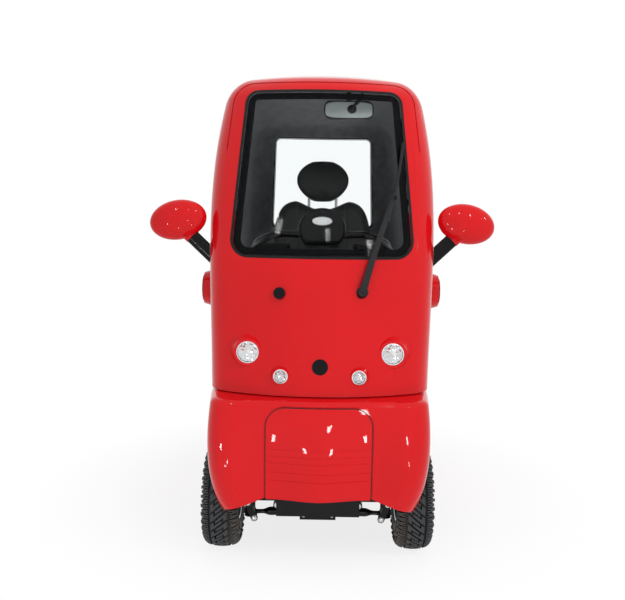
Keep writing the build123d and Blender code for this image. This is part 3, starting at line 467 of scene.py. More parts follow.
def swept(bm, line, widths, heights=None, steps=16, up=(0, 0, 1), round_ness=2.0):
    """A rounded section swept along a line. Its sizes are one number, or one for each point."""
    widths, heights = [size if isinstance(size, list) else [size] * len(line)
                       for size in (widths, heights or widths)]
    rings = []
    for k, point in enumerate(line):
        ahead = line[min(k + 1, len(line) - 1)] - line[max(k - 1, 0)]
        side = ahead.cross(Vector(up)).normalized()
        top = side.cross(ahead).normalized()
        rings.append([point + side * u * widths[k] / 2 + top * v * heights[k] / 2
                      for u, v in circle(steps, 2 / round_ness)])
    skin(bm, rings)


def all_of(bm):
    """Every vertex, edge and face."""
    return bm.verts[:] + bm.edges[:] + bm.faces[:]


def keep_only(bm, wanted):
    """Deletes the faces that aren't wanted, and brings the normals of the rest up to date."""
    bmesh.ops.delete(bm, geom=[f for f in bm.faces if not wanted(f)], context="FACES")
    bm.normal_update()


def mirrored(bm):
    """Adds the mirror image across the middle of the scooter."""
    made = bmesh.ops.duplicate(bm, geom=all_of(bm))["geom"]
    bmesh.ops.transform(bm, matrix=Matrix.Scale(-1, 4, Vector((1, 0, 0))),
                        verts=[g for g in made if isinstance(g, bmesh.types.BMVert)])


def middle_of(node):
    """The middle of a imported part's box."""
    return Vector([(a + b) / 2 for a, b in zip(*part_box(node))])


print("a round of 4 points:", [[round(c, 1) for c in p] for p in circle(4)])

# %% [markdown]
# What repeats is made by Geometry Nodes. The first tree takes one pattern piece that
# stands near an axle along X, and turns copies of it all the way round that axle.
# The second sets a bolt, drawn inside the tree, on every point that it is given.

# %% Trees for what repeats
def start_tree(name, inputs):
    """A Geometry Nodes tree with a geometry socket and named inputs."""
    tree = bpy.data.node_groups.new(name, "GeometryNodeTree")
    for label, kind in [("Geometry", "Geometry")] + inputs:
        tree.interface.new_socket(label, in_out="INPUT", socket_type="NodeSocket" + kind)
    tree.interface.new_socket("Geometry", in_out="OUTPUT", socket_type="NodeSocketGeometry")
    return tree, add(tree, "NodeGroupInput").outputs


def end_tree(tree, points, shape, turn, material):
    """Turned copies of a shape on points, made real, because the export drops instances."""
    copies = add(tree, "GeometryNodeInstanceOnPoints", None,
                 {"Points": points, "Instance": shape, "Rotation": turn})
    real = add(tree, "GeometryNodeRealizeInstances", None, {0: copies})
    painted = add(tree, "GeometryNodeSetMaterial", None, {"Geometry": real, "Material": material})
    add(tree, "NodeGroupOutput", None, {0: painted})
    return tree


def evaluated_mesh(thing):
    """The mesh that an object's modifiers give, which are then removed."""
    graph = bpy.context.evaluated_depsgraph_get()
    mesh = bpy.data.meshes.new_from_object(thing.evaluated_get(graph))
    thing.modifiers.clear()
    return mesh


def grow(tree, bm, values):
    """Runs a tree on a mesh and gives the result as a plain mesh."""
    source = in_scene(tree.name, as_mesh(tree.name, bm))
    modifier = source.modifiers.new(tree.name, "NODES")
    modifier.node_group = tree
    for item in tree.interface.items_tree:
        if item.in_out == "INPUT" and item.name in values:
            modifier[item.identifier] = values[item.name]
    result = evaluated_mesh(source)
    bpy.data.objects.remove(source)
    return result


def ring_tree():
    """Copies of a pattern turned evenly about the X axis."""
    tree, given = start_tree("ring_of_copies", [("Count", "Int"), ("Material", "Material")])
    points = add(tree, "GeometryNodeMeshLine", {"Offset": (0, 0, 0)}, {"Count": given["Count"]})
    step = add(tree, "Math", {"operation": "DIVIDE", 0: 2 * math.pi}, {1: given["Count"]})
    angle = add(tree, "Math", {"operation": "MULTIPLY"},
                {0: add(tree, "GeometryNodeInputIndex"), 1: step})
    turn = add(tree, "CombineXYZ", None, {"X": angle})
    return end_tree(tree, points, given["Geometry"], turn, given["Material"])


def bolt_tree():
    """A hexagon bolt on its washer at each point, along the direction that the point carries."""
    tree, given = start_tree("bolts_on_points", [("Head Radius", "Float"), ("Head Height", "Float"),
                                                 ("Material", "Material")])
    radius, height = given["Head Radius"], given["Head Height"]
    washer_r, crown_r, washer_h, lift = [
        add(tree, "Math", {"operation": "MULTIPLY", 1: share}, {0: size})
        for size, share in ((radius, 1.35), (radius, 0.78), (height, 0.3), (height, 0.5))]
    washer = add(tree, "GeometryNodeMeshCylinder", {"Vertices": 24},
                 {"Radius": washer_r, "Depth": washer_h})
    head = add(tree, "GeometryNodeMeshCylinder", {"Vertices": 6},
               {"Radius": radius, "Depth": height})
    crown = add(tree, "GeometryNodeMeshCone", {"Vertices": 24, "Depth": 0.0006},
                {"Radius Bottom": crown_r, "Radius Top": washer_h})
    whole = add(tree, "GeometryNodeJoinGeometry", None, {0: washer})
    for shape, rise in ((head, lift), (crown, height)):
        up = add(tree, "CombineXYZ", None, {"Z": rise})
        raised = add(tree, "GeometryNodeTransform", None, {"Geometry": shape, "Translation": up})
        tree.links.new(raised.outputs[0], whole.inputs[0])
    facing = add(tree, "GeometryNodeInputNamedAttribute",
                 {"data_type": "FLOAT_VECTOR", "Name": "facing"})
    turn = add(tree, "FunctionNodeAlignRotationToVector", {"axis": "Z"}, {"Vector": facing})
    return end_tree(tree, given["Geometry"], whole, turn, given["Material"])


RING, BOLTS = ring_tree(), bolt_tree()


def bolts(name, places, size, material, body="chassis"):
    """Bolts at places given as (point, direction), with a head of this radius and height."""
    bm = bmesh.new()
    layer = bm.verts.layers.float_vector.new("facing")
    for point, way in places:
        bm.verts.new(point)[layer] = Vector(way)
    mesh = grow(BOLTS, bm, {"Head Radius": size[0], "Head Height": size[1], "Material": material})
    return settle(name, mesh, material, body, smooth=25)


def ring_of(bm, count, material):
    """A pattern near the X axis repeated all round it, as a mesh."""
    return grow(RING, bm, {"Count": count, "Material": material})


print("trees:", RING.name, BOLTS.name)

# %% [markdown]
# The tyres come first, because they are the busiest shapes in the photograph. Each has a
# band of slanted blocks with hooked slots, a groove on each side of it, and lugs that
# wrap over the shoulders. A bump map would not break the outline as the lugs do. The blocks
# are drawn flat, cut into short strips, and then wrapped on to the round of the tyre.

# %% Tread on the flat, wrapped round
TREAD_R, TREAD_DEPTH = 0.1575, 0.0075
CROWN_R, CROWN_HALF, SHOULDER_R = 0.140, 0.036, 0.022
PITCHES = 32
PITCH = 2 * math.pi * TREAD_R / PITCHES
BAND_HALF, BAND_GROOVE, SLANT = 0.025, 0.0066, 0.9
BLOCK_GAP, LUG_GAP, TOP_SHARE = 0.0074, 0.0036, 0.975
SLOT, SLOT_DEEP, SLOT_HOOK, SLOT_STEM = 0.0050, 0.0085, 0.0005, 0.0100


def tread_point(across, around, height):
    """A place on the tread from flat distances across and around, and a height over the carcass."""
    far = abs(across)
    angle = far / CROWN_R
    x = CROWN_R * math.sin(angle)
    r = TREAD_R - CROWN_R + CROWN_R * math.cos(angle)
    if far > CROWN_HALF:
        first = CROWN_HALF / CROWN_R
        angle = first + (far - CROWN_HALF) / SHOULDER_R
        x = CROWN_R * math.sin(first) + SHOULDER_R * (math.sin(angle) - math.sin(first))
        r = (TREAD_R - CROWN_R + CROWN_R * math.cos(first)
             - SHOULDER_R * (math.cos(first) - math.cos(angle)))
    x += height * math.sin(angle)
    r += height * math.cos(angle)
    turn = around / TREAD_R
    return Vector((math.copysign(x, across), r * math.sin(turn), r * math.cos(turn)))


def tread_block(bm, outline):
    """A flat outline of across and around, made a block that narrows a little to its top."""
    middle = [sum(p[k] for p in outline) / len(outline) for k in (0, 1)]
    skin(bm, [[(u, v, -0.001) for u, v in outline],
              [[m + (c - m) * TOP_SHARE for m, c in zip(middle, p)] + [TREAD_DEPTH]
               for p in outline]])


def slanted_block():
    """Outline of one block of the middle band, with a hooked slot from each edge."""
    half, deep, wide = (PITCH - BLOCK_GAP) / 2, SLOT_DEEP, SLOT_STEM + SLOT
    edge = [(-BAND_HALF, 0), (SLOT_STEM, 0), (SLOT_STEM, -deep), (SLOT_HOOK, -deep),
            (SLOT_HOOK, -deep - SLOT), (wide, -deep - SLOT), (wide, 0), (BAND_HALF, 0)]
    upper = [(u, half - SLANT * u + v) for u, v in edge]
    return upper + [(-u, -v) for u, v in upper]


def shoulder_lug(start, width, reach, notch):
    """Outline of a lug from the groove over the shoulder, with a notch in its inner end."""
    near = BAND_HALF + BAND_GROOVE
    mid, cut = start + width / 2, SLOT * 0.35
    return [(near, start), (reach, start + 0.001), (reach, start + width - 0.001),
            (near, start + width), (near, mid + cut), (near + notch, mid + cut),
            (near + notch, mid - cut), (near, mid - cut)]


pattern = bmesh.new()
tread_block(pattern, slanted_block())
for side in (1, -1):
    for start, reach, notch in [(0.001, 0.0605, 0.009), (0.001 + PITCH / 2, 0.053, 0.006)]:
        lug = shoulder_lug(start + side * PITCH / 4, PITCH / 2 - LUG_GAP, reach, notch)
        tread_block(pattern, [(side * u, v) for u, v in lug][::side])
CUTS = [((0, v * TREAD_DEPTH, 0), (0, 1, 0)) for v in range(-5, 6)]
CUTS += [((side * u, 0, 0), (1, 0, 0)) for side in (1, -1) for u in (0.041, 0.048, 0.055)]
for through, facing in CUTS:
    bmesh.ops.bisect_plane(pattern, geom=all_of(pattern), plane_co=through, plane_no=facing)
for vert in pattern.verts:
    vert.co = tread_point(*vert.co)
tread = ring_of(pattern, PITCHES, rubber_tread)
print("tread faces", len(tread.polygons), "pitch mm", round(PITCH * 1000, 1))

# %% [markdown]
# Under the tread lies the carcass, one profile turned about the axle. Its foot is
# tucked behind the rim's lip, and fine fins run round the sidewall, as on the real one.

# %% Carcass and four tyres
WHEELS = ("front_left", "front_right", "rear_left", "rear_right")
FINS, FIN_HALF, CROWN_STEP = 90, 0.0009, 0.0066
SIDEWALL = [(0.0545, 0.1235), (0.0562, 0.1130), (0.0568, 0.1055), (0.0556, 0.1040),
            (0.0552, 0.0960), (0.0560, 0.0945), (0.0545, 0.0890), (0.0505, 0.0830),
            (0.0470, 0.0790), (0.0455, 0.0764)]
FIN = [(0.0548, 0.117), (0.0572, 0.116), (0.0574, 0.110), (0.0552, 0.109)]
crown = [tread_point(u * CROWN_STEP, 0, 0) for u in range(-9, 10)]
profile = [(-x, r) for x, r in SIDEWALL[::-1]] + [(p.x, p.z) for p in crown] + SIDEWALL
carcass, fins = bmesh.new(), bmesh.new()
turned(carcass, profile + profile[:1], (0, 0, 0), (1, 0, 0), steps=120, caps=False)
round_of_tyre = BVHTree.FromBMesh(carcass)
carcass.from_mesh(tread)
for side in (1, -1):
    skin(fins, [[(side * x, a, r) for x, r in FIN] for a in (-FIN_HALF, FIN_HALF)])
carcass.from_mesh(ring_of(fins, FINS, rubber_tread))
tyre_mesh = as_mesh("tyre_pattern", carcass)
height = tyre_mesh.attributes.new("tread_height", "FLOAT", "POINT")
for vert, value in zip(tyre_mesh.vertices, height.data):
    value.value = round_of_tyre.find_nearest(vert.co)[3] / TREAD_DEPTH
for wheel in WHEELS:
    centre = middle_of("tyre_" + wheel)
    mesh = tyre_mesh.copy()
    if centre.x < 0:
        mesh.transform(Matrix.Scale(-1, 4, (1, 0, 0)))
    mesh.transform(Matrix.Translation(centre))
    tyre = settle("tread_tyre_" + wheel, mesh, rubber_tread, "wheel_" + wheel)
    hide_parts("tyre_" + wheel)
print("four tyres of", len(tyre_mesh.polygons), "faces")

# %% [markdown]
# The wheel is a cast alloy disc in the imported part. Four nuts, a domed hub cap, the
# rolled lips of the rim and a rubber valve finish it.

# %% Wheel trim
HUB_FACE, NUT_CIRCLE, WHEEL_NUT = 0.026, 0.040, (0.0065, 0.007)
CAP = [(HUB_FACE, 0.030), (0.036, 0.030), (0.0395, 0.0285), (0.044, 0.0270), (0.048, 0.0215),
       (0.0505, 0.0120), (0.0512, 0.0008)]
LIP = [(0.0440, 0.0715), (0.0500, 0.0715), (0.0512, 0.0740), (0.0512, 0.0785),
       (0.0498, 0.0800), (0.0480, 0.0792), (0.0474, 0.0768), (0.0440, 0.0762), (0.0440, 0.0715)]
VALVE = [(0.036, -0.066), (0.042, -0.060), (0.054, -0.054)]
VALVE_WIDTHS = [0.008, 0.008, 0.007, 0.006, 0.006, 0.0055, 0.0055, 0.0055, 0.005]
for wheel in WHEELS:
    middle, body = middle_of("rim_" + wheel), "wheel_" + wheel
    out = 1 if middle.x > 0 else -1
    cap, lips, valve = bmesh.new(), bmesh.new(), bmesh.new()
    turned(cap, CAP, middle, (out, 0, 0), steps=40)
    for way in (1, -1):
        turned(lips, LIP, middle, (way, 0, 0), steps=72, caps=False)
    stem = smooth_line([(out * x, 0, z) for x, z in VALVE], 4, middle)
    swept(valve, stem, VALVE_WIDTHS, steps=12)
    nuts = [(middle + Vector((out * HUB_FACE, NUT_CIRCLE * u, NUT_CIRCLE * v)), (out, 0, 0))
            for u, v in circle(4, lead=0.5)]
    settle("hub_cap_" + wheel, cap, abs_gloss, body)
    settle("rim_lips_" + wheel, lips, alloy, body)
    bolts("wheel_nuts_" + wheel, nuts, WHEEL_NUT, zinc, body)
    settle("valve_" + wheel, valve, rubber, body)
print("wheel trim on four wheels")

# %% [markdown]
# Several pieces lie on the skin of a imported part. Their place is found by a ray: it
# starts in front or behind, travels along the scooter, and the point where it meets the
# part, with the direction that the skin faces there, carries the piece.

# %% Finding the skin
FRONT, BACK = -2, 2


def skin_of(name):
    """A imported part's surface, ready for rays."""
    bm = bmesh.new()
    bm.from_mesh(nodes[name].data)
    bm.transform(nodes[name].matrix_world)
    tree = BVHTree.FromBMesh(bm)
    bm.free()
    return tree


def meet(tree, x, z, start=FRONT):
    """Where a ray along the scooter meets a surface, and the surface's outward direction there."""
    way = Vector((0, math.copysign(1, -start), 0))
    point, facing = tree.ray_cast(Vector((x, start, z)), way)[:2]
    return point, -facing if facing.dot(way) > 0 else facing


body_skin, cowl_skin, lid_skin = [skin_of(n) for n in ("body_shell", "nose_cowl", "nose_panel")]
print("the cowl's front at", round(meet(cowl_skin, 0.25, 0.4)[0].y, 3))

# %% [markdown]
# Each white spark on the nose is a small lamp mirrored in the paint. A lamp can be
# shifted by hand until its spark sits right, but the mirror law gives the place at once:
# the ray from the camera is turned about the skin's direction, and the lamp hangs there.
# Where that ray soon meets the floor, a smaller lamp stands nearer and looks the same.

# %% Sparks on the paint
SPARK_FAR, SPARK_SIZE, SPARK_POWER = 3.2, (0.16, 0.22), 5.5
NEARER, LEAST_HEIGHT = (1.0, 0.6, 0.4, 0.3), 0.10
CEILING_HEADS = [(-1.3, -2.7, 3.3), (1.5, -2.9, 3.1), (0.2, -3.3, 3.6), (2.6, -1.6, 2.4)]
SPARK_PLACES = [(lid_skin, -0.131, 0.420), (lid_skin, 0.134, 0.424), (cowl_skin, -0.275, 0.340),
                (cowl_skin, 0.263, 0.431), (cowl_skin, -0.290, 0.390), (cowl_skin, 0.285, 0.330)]
for number, (tree, x, z) in enumerate(SPARK_PLACES):
    point, facing = meet(tree, x, z)
    seen = (camera.location - point).normalized()
    way = (2 * facing.dot(seen) * facing - seen) * SPARK_FAR
    near = next((share for share in NEARER if (point + way * share).z > LEAST_HEIGHT), None)
    if near:
        lamp("spark_head_" + str(number), point + way * near, point,
             [side * near for side in SPARK_SIZE], SPARK_POWER * near ** 2, mirrored_too=True)
        print("spark", number, "lamp at", round(SPARK_FAR * near, 2), "m")
for number, place in enumerate(CEILING_HEADS):
    lamp("ceiling_head_" + str(number), place, (0, -0.7, 0.6), SPARK_SIZE, SPARK_POWER,
         mirrored_too=True)

# %% [markdown]
# A lamp's reflector is a dish of many small flat mirrors, pressed in rings. Shaded flat,
# each mirror picks another part of the white studio or of the scooter, which gives the
# cut-glass look. The bulb sits in the middle, behind a clear stepped lens.

# %% Lamps in the nose
FRONT_LAMPS = [(0.222, 0.661, 0.0305, 18), (0.119, 0.594, 0.0185, 14)]
DISH = [(1.0, 0.0058), (0.93, 0.0062), (0.74, 0.0090), (0.52, 0.0105), (0.30, 0.0112)]
WAVE = 0.0011
BULB = [(-0.0116, 0.30), (-0.0108, 0.31), (-0.0085, 0.26), (-0.0065, 0.14), (-0.0060, 0.01)]
LENS_STEP = [(0.0, 0.0), (0.0012, 0.03), (0.0012, 0.06), (0.0, 0.09)]
lens_skin = skin_of("lamp_lenses")
reflectors, bulbs, covers = bmesh.new(), bmesh.new(), bmesh.new()
for x, z, r, spokes in [(side * x, *rest) for x, *rest in FRONT_LAMPS for side in (1, -1)]:
    at = Vector((x, meet(lens_skin, x, z)[0].y, z))
    rings = []
    for j, (share, deep) in enumerate(DISH):
        wave = WAVE if 0 < j < len(DISH) - 1 else 0
        around = enumerate(circle(spokes, lead=0.5 * (j % 2)))
        rings.append([at + Vector((r * share * u, deep + (wave if (k + j) % 2 else -wave),
                                   r * share * v)) for k, (u, v) in around])
    skin(reflectors, rings, caps=False)
    turned(bulbs, [(out, r * share) for out, share in BULB], at, (0, -1, 0), steps=24)
    for edge in (0.97, 0.60):
        turned(covers, [(out, r * (edge - step)) for out, step in LENS_STEP], at, (0, -1, 0),
               caps=False)
bmesh.ops.triangulate(reflectors, faces=reflectors.faces)
settle("lamp_reflectors", reflectors, chrome, smooth=2)
settle("lamp_bulbs", bulbs, white_print)
settle("lens_steps", covers, lens)
print("front lamps", 2 * len(FRONT_LAMPS))

# %% [markdown]
# The panes are bonded, and a black ceramic border, the frit, hides the glue from
# outside. Each border is the outer face of its own pane, copied and inset: the strip
# left between the old and new edges is moved to the inside of the glass.

# %% Frit borders
PANE_T, FRIT_T, FRIT_GAP = 0.005, 0.0006, 0.0003
PANES = [("windscreen", (0, -1, 0.3), 0.026, "chassis"),
         ("rear_window", (0, 1, 0.1), 0.003, "chassis"),
         ("door_left_window", (1, 0, 0), 0.014, "door_left"),
         ("door_right_window", (-1, 0, 0), 0.014, "door_right")]


def merged(node):
    """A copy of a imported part's mesh with its loose triangles joined."""
    bm = bmesh.new()
    bm.from_mesh(nodes[node].data)
    bmesh.ops.remove_doubles(bm, verts=bm.verts, dist=0.00002)
    return bm


def edge_strip(node, outward, width, off, thickness, least=0.35, left_out=lambda middle: False):
    """The strip along the edge of a part's outer face, moved off it and given a thickness."""
    bm, out = merged(node), Vector(outward)
    bmesh.ops.delete(bm, geom=[f for f in bm.faces if f.normal.dot(out) < least], context="FACES")
    strip = bmesh.ops.inset_region(bm, faces=bm.faces[:], thickness=width, use_boundary=True,
                                   use_even_offset=True)["faces"]
    strip = {f for f in strip if not left_out(f.calc_center_median())}
    keep_only(bm, lambda face: face in strip)
    for vert in bm.verts:
        vert.co += vert.normal * off * (1 if vert.normal.dot(out) > 0 else -1)
    bmesh.ops.solidify(bm, geom=bm.faces[:], thickness=thickness)
    return bm


for node, outward, width, body in PANES:
    strip = edge_strip(node, outward, width, -PANE_T - FRIT_GAP, FRIT_T)
    settle(node + "_frit", strip, fired, body)
print("frits", len(PANES))

# %% [markdown]
# The real wiper is a pressed arm that tapers from a capped pivot, a long thin blade with
# its rubber, and a hooked clip where they join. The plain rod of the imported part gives
# way to these.

# %% Wiper
ARM_ROUTE = [(0.124, 0.842, 0.021), (0.131, 0.866, 0.021), (0.163, 0.965, 0.020),
             (0.193, 1.050, 0.020), (0.221, 1.128, 0.020)]
BLADE_OFF, BLADE_ROUTE = 0.011, [(0.206, 1.060), (0.232, 1.155), (0.250, 1.240), (0.262, 1.319)]
ARM_WIDE, ARM_NARROW, RIB_PROUD = 0.026, 0.014, 0.0022
BLADE, CLIP_SECTION = (0.010, 0.008), (0.008, 0.006)
SQUEEGEE, SQUEEGEE_IN = (0.0022, 0.0075), 0.0062
WIPER_NUT, NUT_OUT = (0.0048, 0.0035), 0.029
PIVOT = [(-0.004, 0.021), (0.004, 0.021), (0.006, 0.0185), (0.014, 0.0180), (0.024, 0.0170),
         (0.0275, 0.0150), (0.029, 0.010), (0.0294, 0.001)]
CLIP = [(0, 0, 0), (0.004, -0.003, 0.016), (0.012, 0.004, 0.018), (0.013, 0.010, 0.004)]
ON_SCREEN = {"up": (0, -1, 0.3)}
screen_skin = skin_of("windscreen")


def over_front(x, z, off):
    """A point off the front skin, whichever part is there."""
    hits = [tree.ray_cast(Vector((x, FRONT, z)), Vector((0, 1, 0)))[0]
            for tree in (body_skin, screen_skin)]
    return Vector((x, min(h.y for h in hits if h) - off, z))


wiper = bmesh.new()
arm = smooth_line([over_front(*place) for place in ARM_ROUTE], 5)
taper = [ARM_WIDE - (ARM_WIDE - ARM_NARROW) * k / (len(arm) - 1) for k in range(len(arm))]
swept(wiper, arm, taper, [w * 0.5 for w in taper], round_ness=4, **ON_SCREEN)
pivot, pivot_way = meet(body_skin, *ARM_ROUTE[0][:2])
turned(wiper, PIVOT, pivot, pivot_way, steps=32)
for k in range(2, len(arm) - 3, 2):
    rib = [p + Vector((0, -taper[k] * 0.24, 0)) for p in arm[k:k + 2]]
    swept(wiper, rib, taper[k] * 0.45, RIB_PROUD, steps=12, round_ness=4, **ON_SCREEN)
blade = smooth_line([over_front(x, z, BLADE_OFF) for x, z in BLADE_ROUTE])
swept(wiper, blade, *BLADE, round_ness=3, **ON_SCREEN)
squeegee = [p + Vector((0, SQUEEGEE_IN, 0)) for p in blade]
swept(wiper, squeegee, *SQUEEGEE, round_ness=4, **ON_SCREEN)
swept(wiper, smooth_line(CLIP, 4, arm[-1]), *CLIP_SECTION, **ON_SCREEN)
whole = settle("wiper_arm_and_blade", wiper, abs_grain)
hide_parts("wiper")
bolts("wiper_nut", [(pivot + pivot_way * NUT_OUT, pivot_way)], WIPER_NUT, zinc)
print("wiper of", len(whole.data.polygons), "faces")

# %% [markdown]
# Inside, the shell and doors are lined with grey needle felt, which is what the
# windscreen shows round the pale rear window. The lining is the wall's own inner face,
# copied. An inner face is told from an edge of the wall by a ray: behind it, after the
# thickness of the wall, lies the outside.

# %% Felt lining
WALL_LOW, WALL_HIGH = 0.020, 0.072
LINING_OFF, LINING_T, LEAST_FACING, UNDER_SKIN = 0.0012, 0.0010, 0.25, 0.0002
CORE_Y, CORE_Z = (-0.25, 0.45), (0.75, 1.2)
LINED = [("body_shell", "chassis", 0.43), ("door_left_panel", "door_left", 0.30),
         ("door_right_panel", "door_right", 0.30)]


def lining(node, body, foot):
    """Felt on the faces of a wall that look into the cabin, down to a straight edge at its foot."""
    bm = merged(node)
    bm.normal_update()
    wall = BVHTree.FromBMesh(bm)
    bmesh.ops.bisect_plane(bm, geom=all_of(bm), plane_co=(0, 0, foot), plane_no=(0, 0, 1),
                           clear_inner=True)

    def looks_in(face):
        middle = face.calc_center_median()
        core = Vector((0, min(max(middle.y, CORE_Y[0]), CORE_Y[1]),
                       min(max(middle.z, CORE_Z[0]), CORE_Z[1])))
        far = wall.ray_cast(middle - face.normal * UNDER_SKIN, -face.normal)[3]
        inwards = face.normal.dot((core - middle).normalized()) > LEAST_FACING
        return inwards and far and WALL_LOW < far < WALL_HIGH

    keep_only(bm, looks_in)
    for vert in bm.verts:
        vert.co += vert.normal * LINING_OFF
    bmesh.ops.solidify(bm, geom=bm.faces[:], thickness=-LINING_T)
    return settle(node + "_lining", bm, felt, body, smooth=60)


for node, body, foot in LINED:
    print(node, "lining faces", len(lining(node, body, foot).data.polygons))

# %% [markdown]
# The seat's three pads are foam under a stretched cover. Such a form is hard to draw and
# easy to blow up: a slightly smaller copy of the plain solid is remeshed evenly, filled
# by a cloth simulation with pressure inside, and kept within a cap so that it doesn't
# balloon. The seams are pressed in last, as the thread does on the real cover.

# %% Padded seat
VOXEL, FRAMES, PRESSURE, STIFFNESS = 0.006, 20, 4.0, 15
SIDE_SEAM, CROSS_SEAM, REST_SEAM = (0.006, 0.005), (0.005, 0.005), (0.003, 0.004)
CORNER, REST_HALF_W, REST_HALF_H, FOOT_SHARE = 0.068, 0.108, 0.080, 0.15


def blown(mesh, cap):
    """The mesh after some frames of cloth with pressure, no point moved further than the cap."""
    thing = in_scene("blown", mesh)
    even = thing.modifiers.new("even", "REMESH")
    even.mode = "VOXEL"
    even.voxel_size = VOXEL
    thing.data = even_mesh = evaluated_mesh(thing)
    start = [v.co.copy() for v in even_mesh.vertices]
    cloth = thing.modifiers.new("cloth", "CLOTH")
    cloth.settings.use_pressure = True
    cloth.settings.uniform_pressure_force = PRESSURE
    cloth.settings.effector_weights.gravity = 0
    cloth.settings.tension_stiffness = STIFFNESS
    cloth.settings.quality = 4
    for number in range(1, FRAMES + 1):
        scene.frame_set(number)
    for vert, old, new in zip(even_mesh.vertices, start, evaluated_mesh(thing).vertices):
        step = new.co - old
        if step.length > cap:
            step *= cap / step.length
        vert.co = old + step
    scene.frame_set(1)
    thing.modifiers.new("smooth", "SMOOTH").iterations = 4
    finer = thing.modifiers.new("finer", "SUBSURF")
    finer.levels = finer.render_levels = 1
    result = evaluated_mesh(thing)
    bpy.data.objects.remove(thing)
    return result


def oval(p):
    """Turns the outline of the headrest's rounded box into an oval that narrows to its foot."""
    far = math.hypot(p.x, p.z)
    if far < MM:
        return p
    half_w, half_h = REST_HALF_W, REST_HALF_H
    dx, dz = abs(p.x) / far, abs(p.z) / far
    cx, cz = half_w - CORNER, half_h - CORNER
    along = dx * cx + dz * cz
    edge = along + math.sqrt(max(0.0, along ** 2 - cx ** 2 - cz ** 2 + CORNER ** 2))
    if dz > 0 and dx * half_h / dz < cx:
        edge = half_h / dz
    if dx > 0 and dz * half_w / dx < cz:
        edge = half_w / dx
    full = 1 / math.hypot(dx / half_w, dz / half_h) / edge
    narrow = 1 - FOOT_SHARE * max(0.0, -p.z / half_h)
    return Vector((p.x * full * narrow, p.y, p.z * full))


def pad(node, scale, cap, press, fill):
    """A padded piece that replaces a plain solid, with its seams pulled in by press."""
    middle = middle_of(node)
    bm = merged(node)
    for vert in bm.verts:
        off = vert.co - middle
        if node == "headrest":
            off = oval(off)
        vert.co = middle + Vector([o * s for o, s in zip(off, scale)])
    mesh = blown(as_mesh(node, bm), cap)
    facing = [vert.normal.copy() for vert in mesh.vertices]
    for vert, normal in zip(mesh.vertices, facing):
        vert.co -= normal * press(vert.co - middle, normal)
    piece = settle(node + "_pad", mesh, vinyl, smooth=80)
    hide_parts(node)
    return piece


def groove(distance, deep, width):
    """How deep a seam pulls at this distance from its thread."""
    return deep * math.exp(-(distance / width) ** 2)


def panel_seams(p, half, across, facing):
    """Two seams bound the middle panel, and one runs across it."""
    return max(0.0, facing) * max(groove(abs(p.x) - half, *SIDE_SEAM),
                                  groove(across, *CROSS_SEAM) * (abs(p.x) < half))


PADS = [("seat_cushion", (0.985, 0.975, 0.90), 0.012,
         lambda p, n: panel_seams(p, 0.115, p.y + 0.10, n.z), 0.7),
        ("seat_back", (1.035, 0.86, 1.012), 0.014,
         lambda p, n: panel_seams(p, 0.105, p.z + 0.09, -n.y), 0.7),
        ("headrest", (1.08, 0.86, 1.16), 0.012, lambda p, n: groove(p.y, *REST_SEAM), 0.8)]
for row in PADS:
    print(row[0], "pad faces", len(pad(*row).data.polygons))

# %% [markdown]
# The handlebar is a closed loop of tube, so that it can be gripped at any height. A
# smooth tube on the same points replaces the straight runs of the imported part. Ribbed
# rubber sleeves cover the outer runs, and a thumb lever stands before each of them.

# %% Handlebar, grips and levers
BAR_ORIGIN, BAR_R = Vector((0, -0.2973, 1.0)), 0.0125
BAR_ROUTE = [(0.0, 0.0, 0.0), (0.060, 0.0, 0.006), (0.160, 0.010, 0.008), (0.232, 0.050, -0.024),
             (0.206, 0.112, -0.040), (0.120, 0.128, -0.040)]
BAR_END = [(0.0, BAR_R), (0.003, BAR_R * 0.9), (0.005, BAR_R * 0.5), (0.0055, 0.0005)]
LEVER_ROUTE = [(0.150, -0.018, 0.010), (0.185, -0.030, -0.004), (0.222, -0.010, -0.022),
               (0.250, 0.030, -0.040)]
SLEEVE_WALL, RIB_DEEP, RIB_STEPS, SLEEVE_ENDS = 0.0022, 0.0011, 5, (26, 40)
LEVER_WIDE, LEVER_THICK = 0.010, 0.006
tube, sleeves, levers = bmesh.new(), bmesh.new(), bmesh.new()
half = smooth_line(BAR_ROUTE, 8, BAR_ORIGIN)
swept(tube, half, 2 * BAR_R, steps=20)
turned(tube, BAR_END, half[-1], half[-1] - half[-2], steps=20)
grip = smooth_line(half[slice(*SLEEVE_ENDS)])
ribs = [2 * (BAR_R + SLEEVE_WALL + RIB_DEEP * math.cos(2 * math.pi * k / RIB_STEPS))
        for k in range(len(grip))]
ribs[0] = ribs[-1] = 2 * BAR_R + 0.001
swept(sleeves, grip, ribs, steps=24)
lever = smooth_line(LEVER_ROUTE, 6, BAR_ORIGIN)
widths = [LEVER_WIDE * (1 + math.sin(math.pi * k / (len(lever) - 1))) for k in range(len(lever))]
swept(levers, lever, widths, LEVER_THICK, steps=14, up=(0, -1, 0.6), round_ness=3)
for bm in (tube, sleeves, levers):
    mirrored(bm)
bar = settle("handlebar_tube", tube, abs_gloss, "tiller")
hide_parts("handlebar")
settle("handlebar_sleeves", sleeves, rubber, "tiller")
settle("thumb_levers", levers, abs_grain, "tiller")
print("handlebar of", len(half), "points a side")
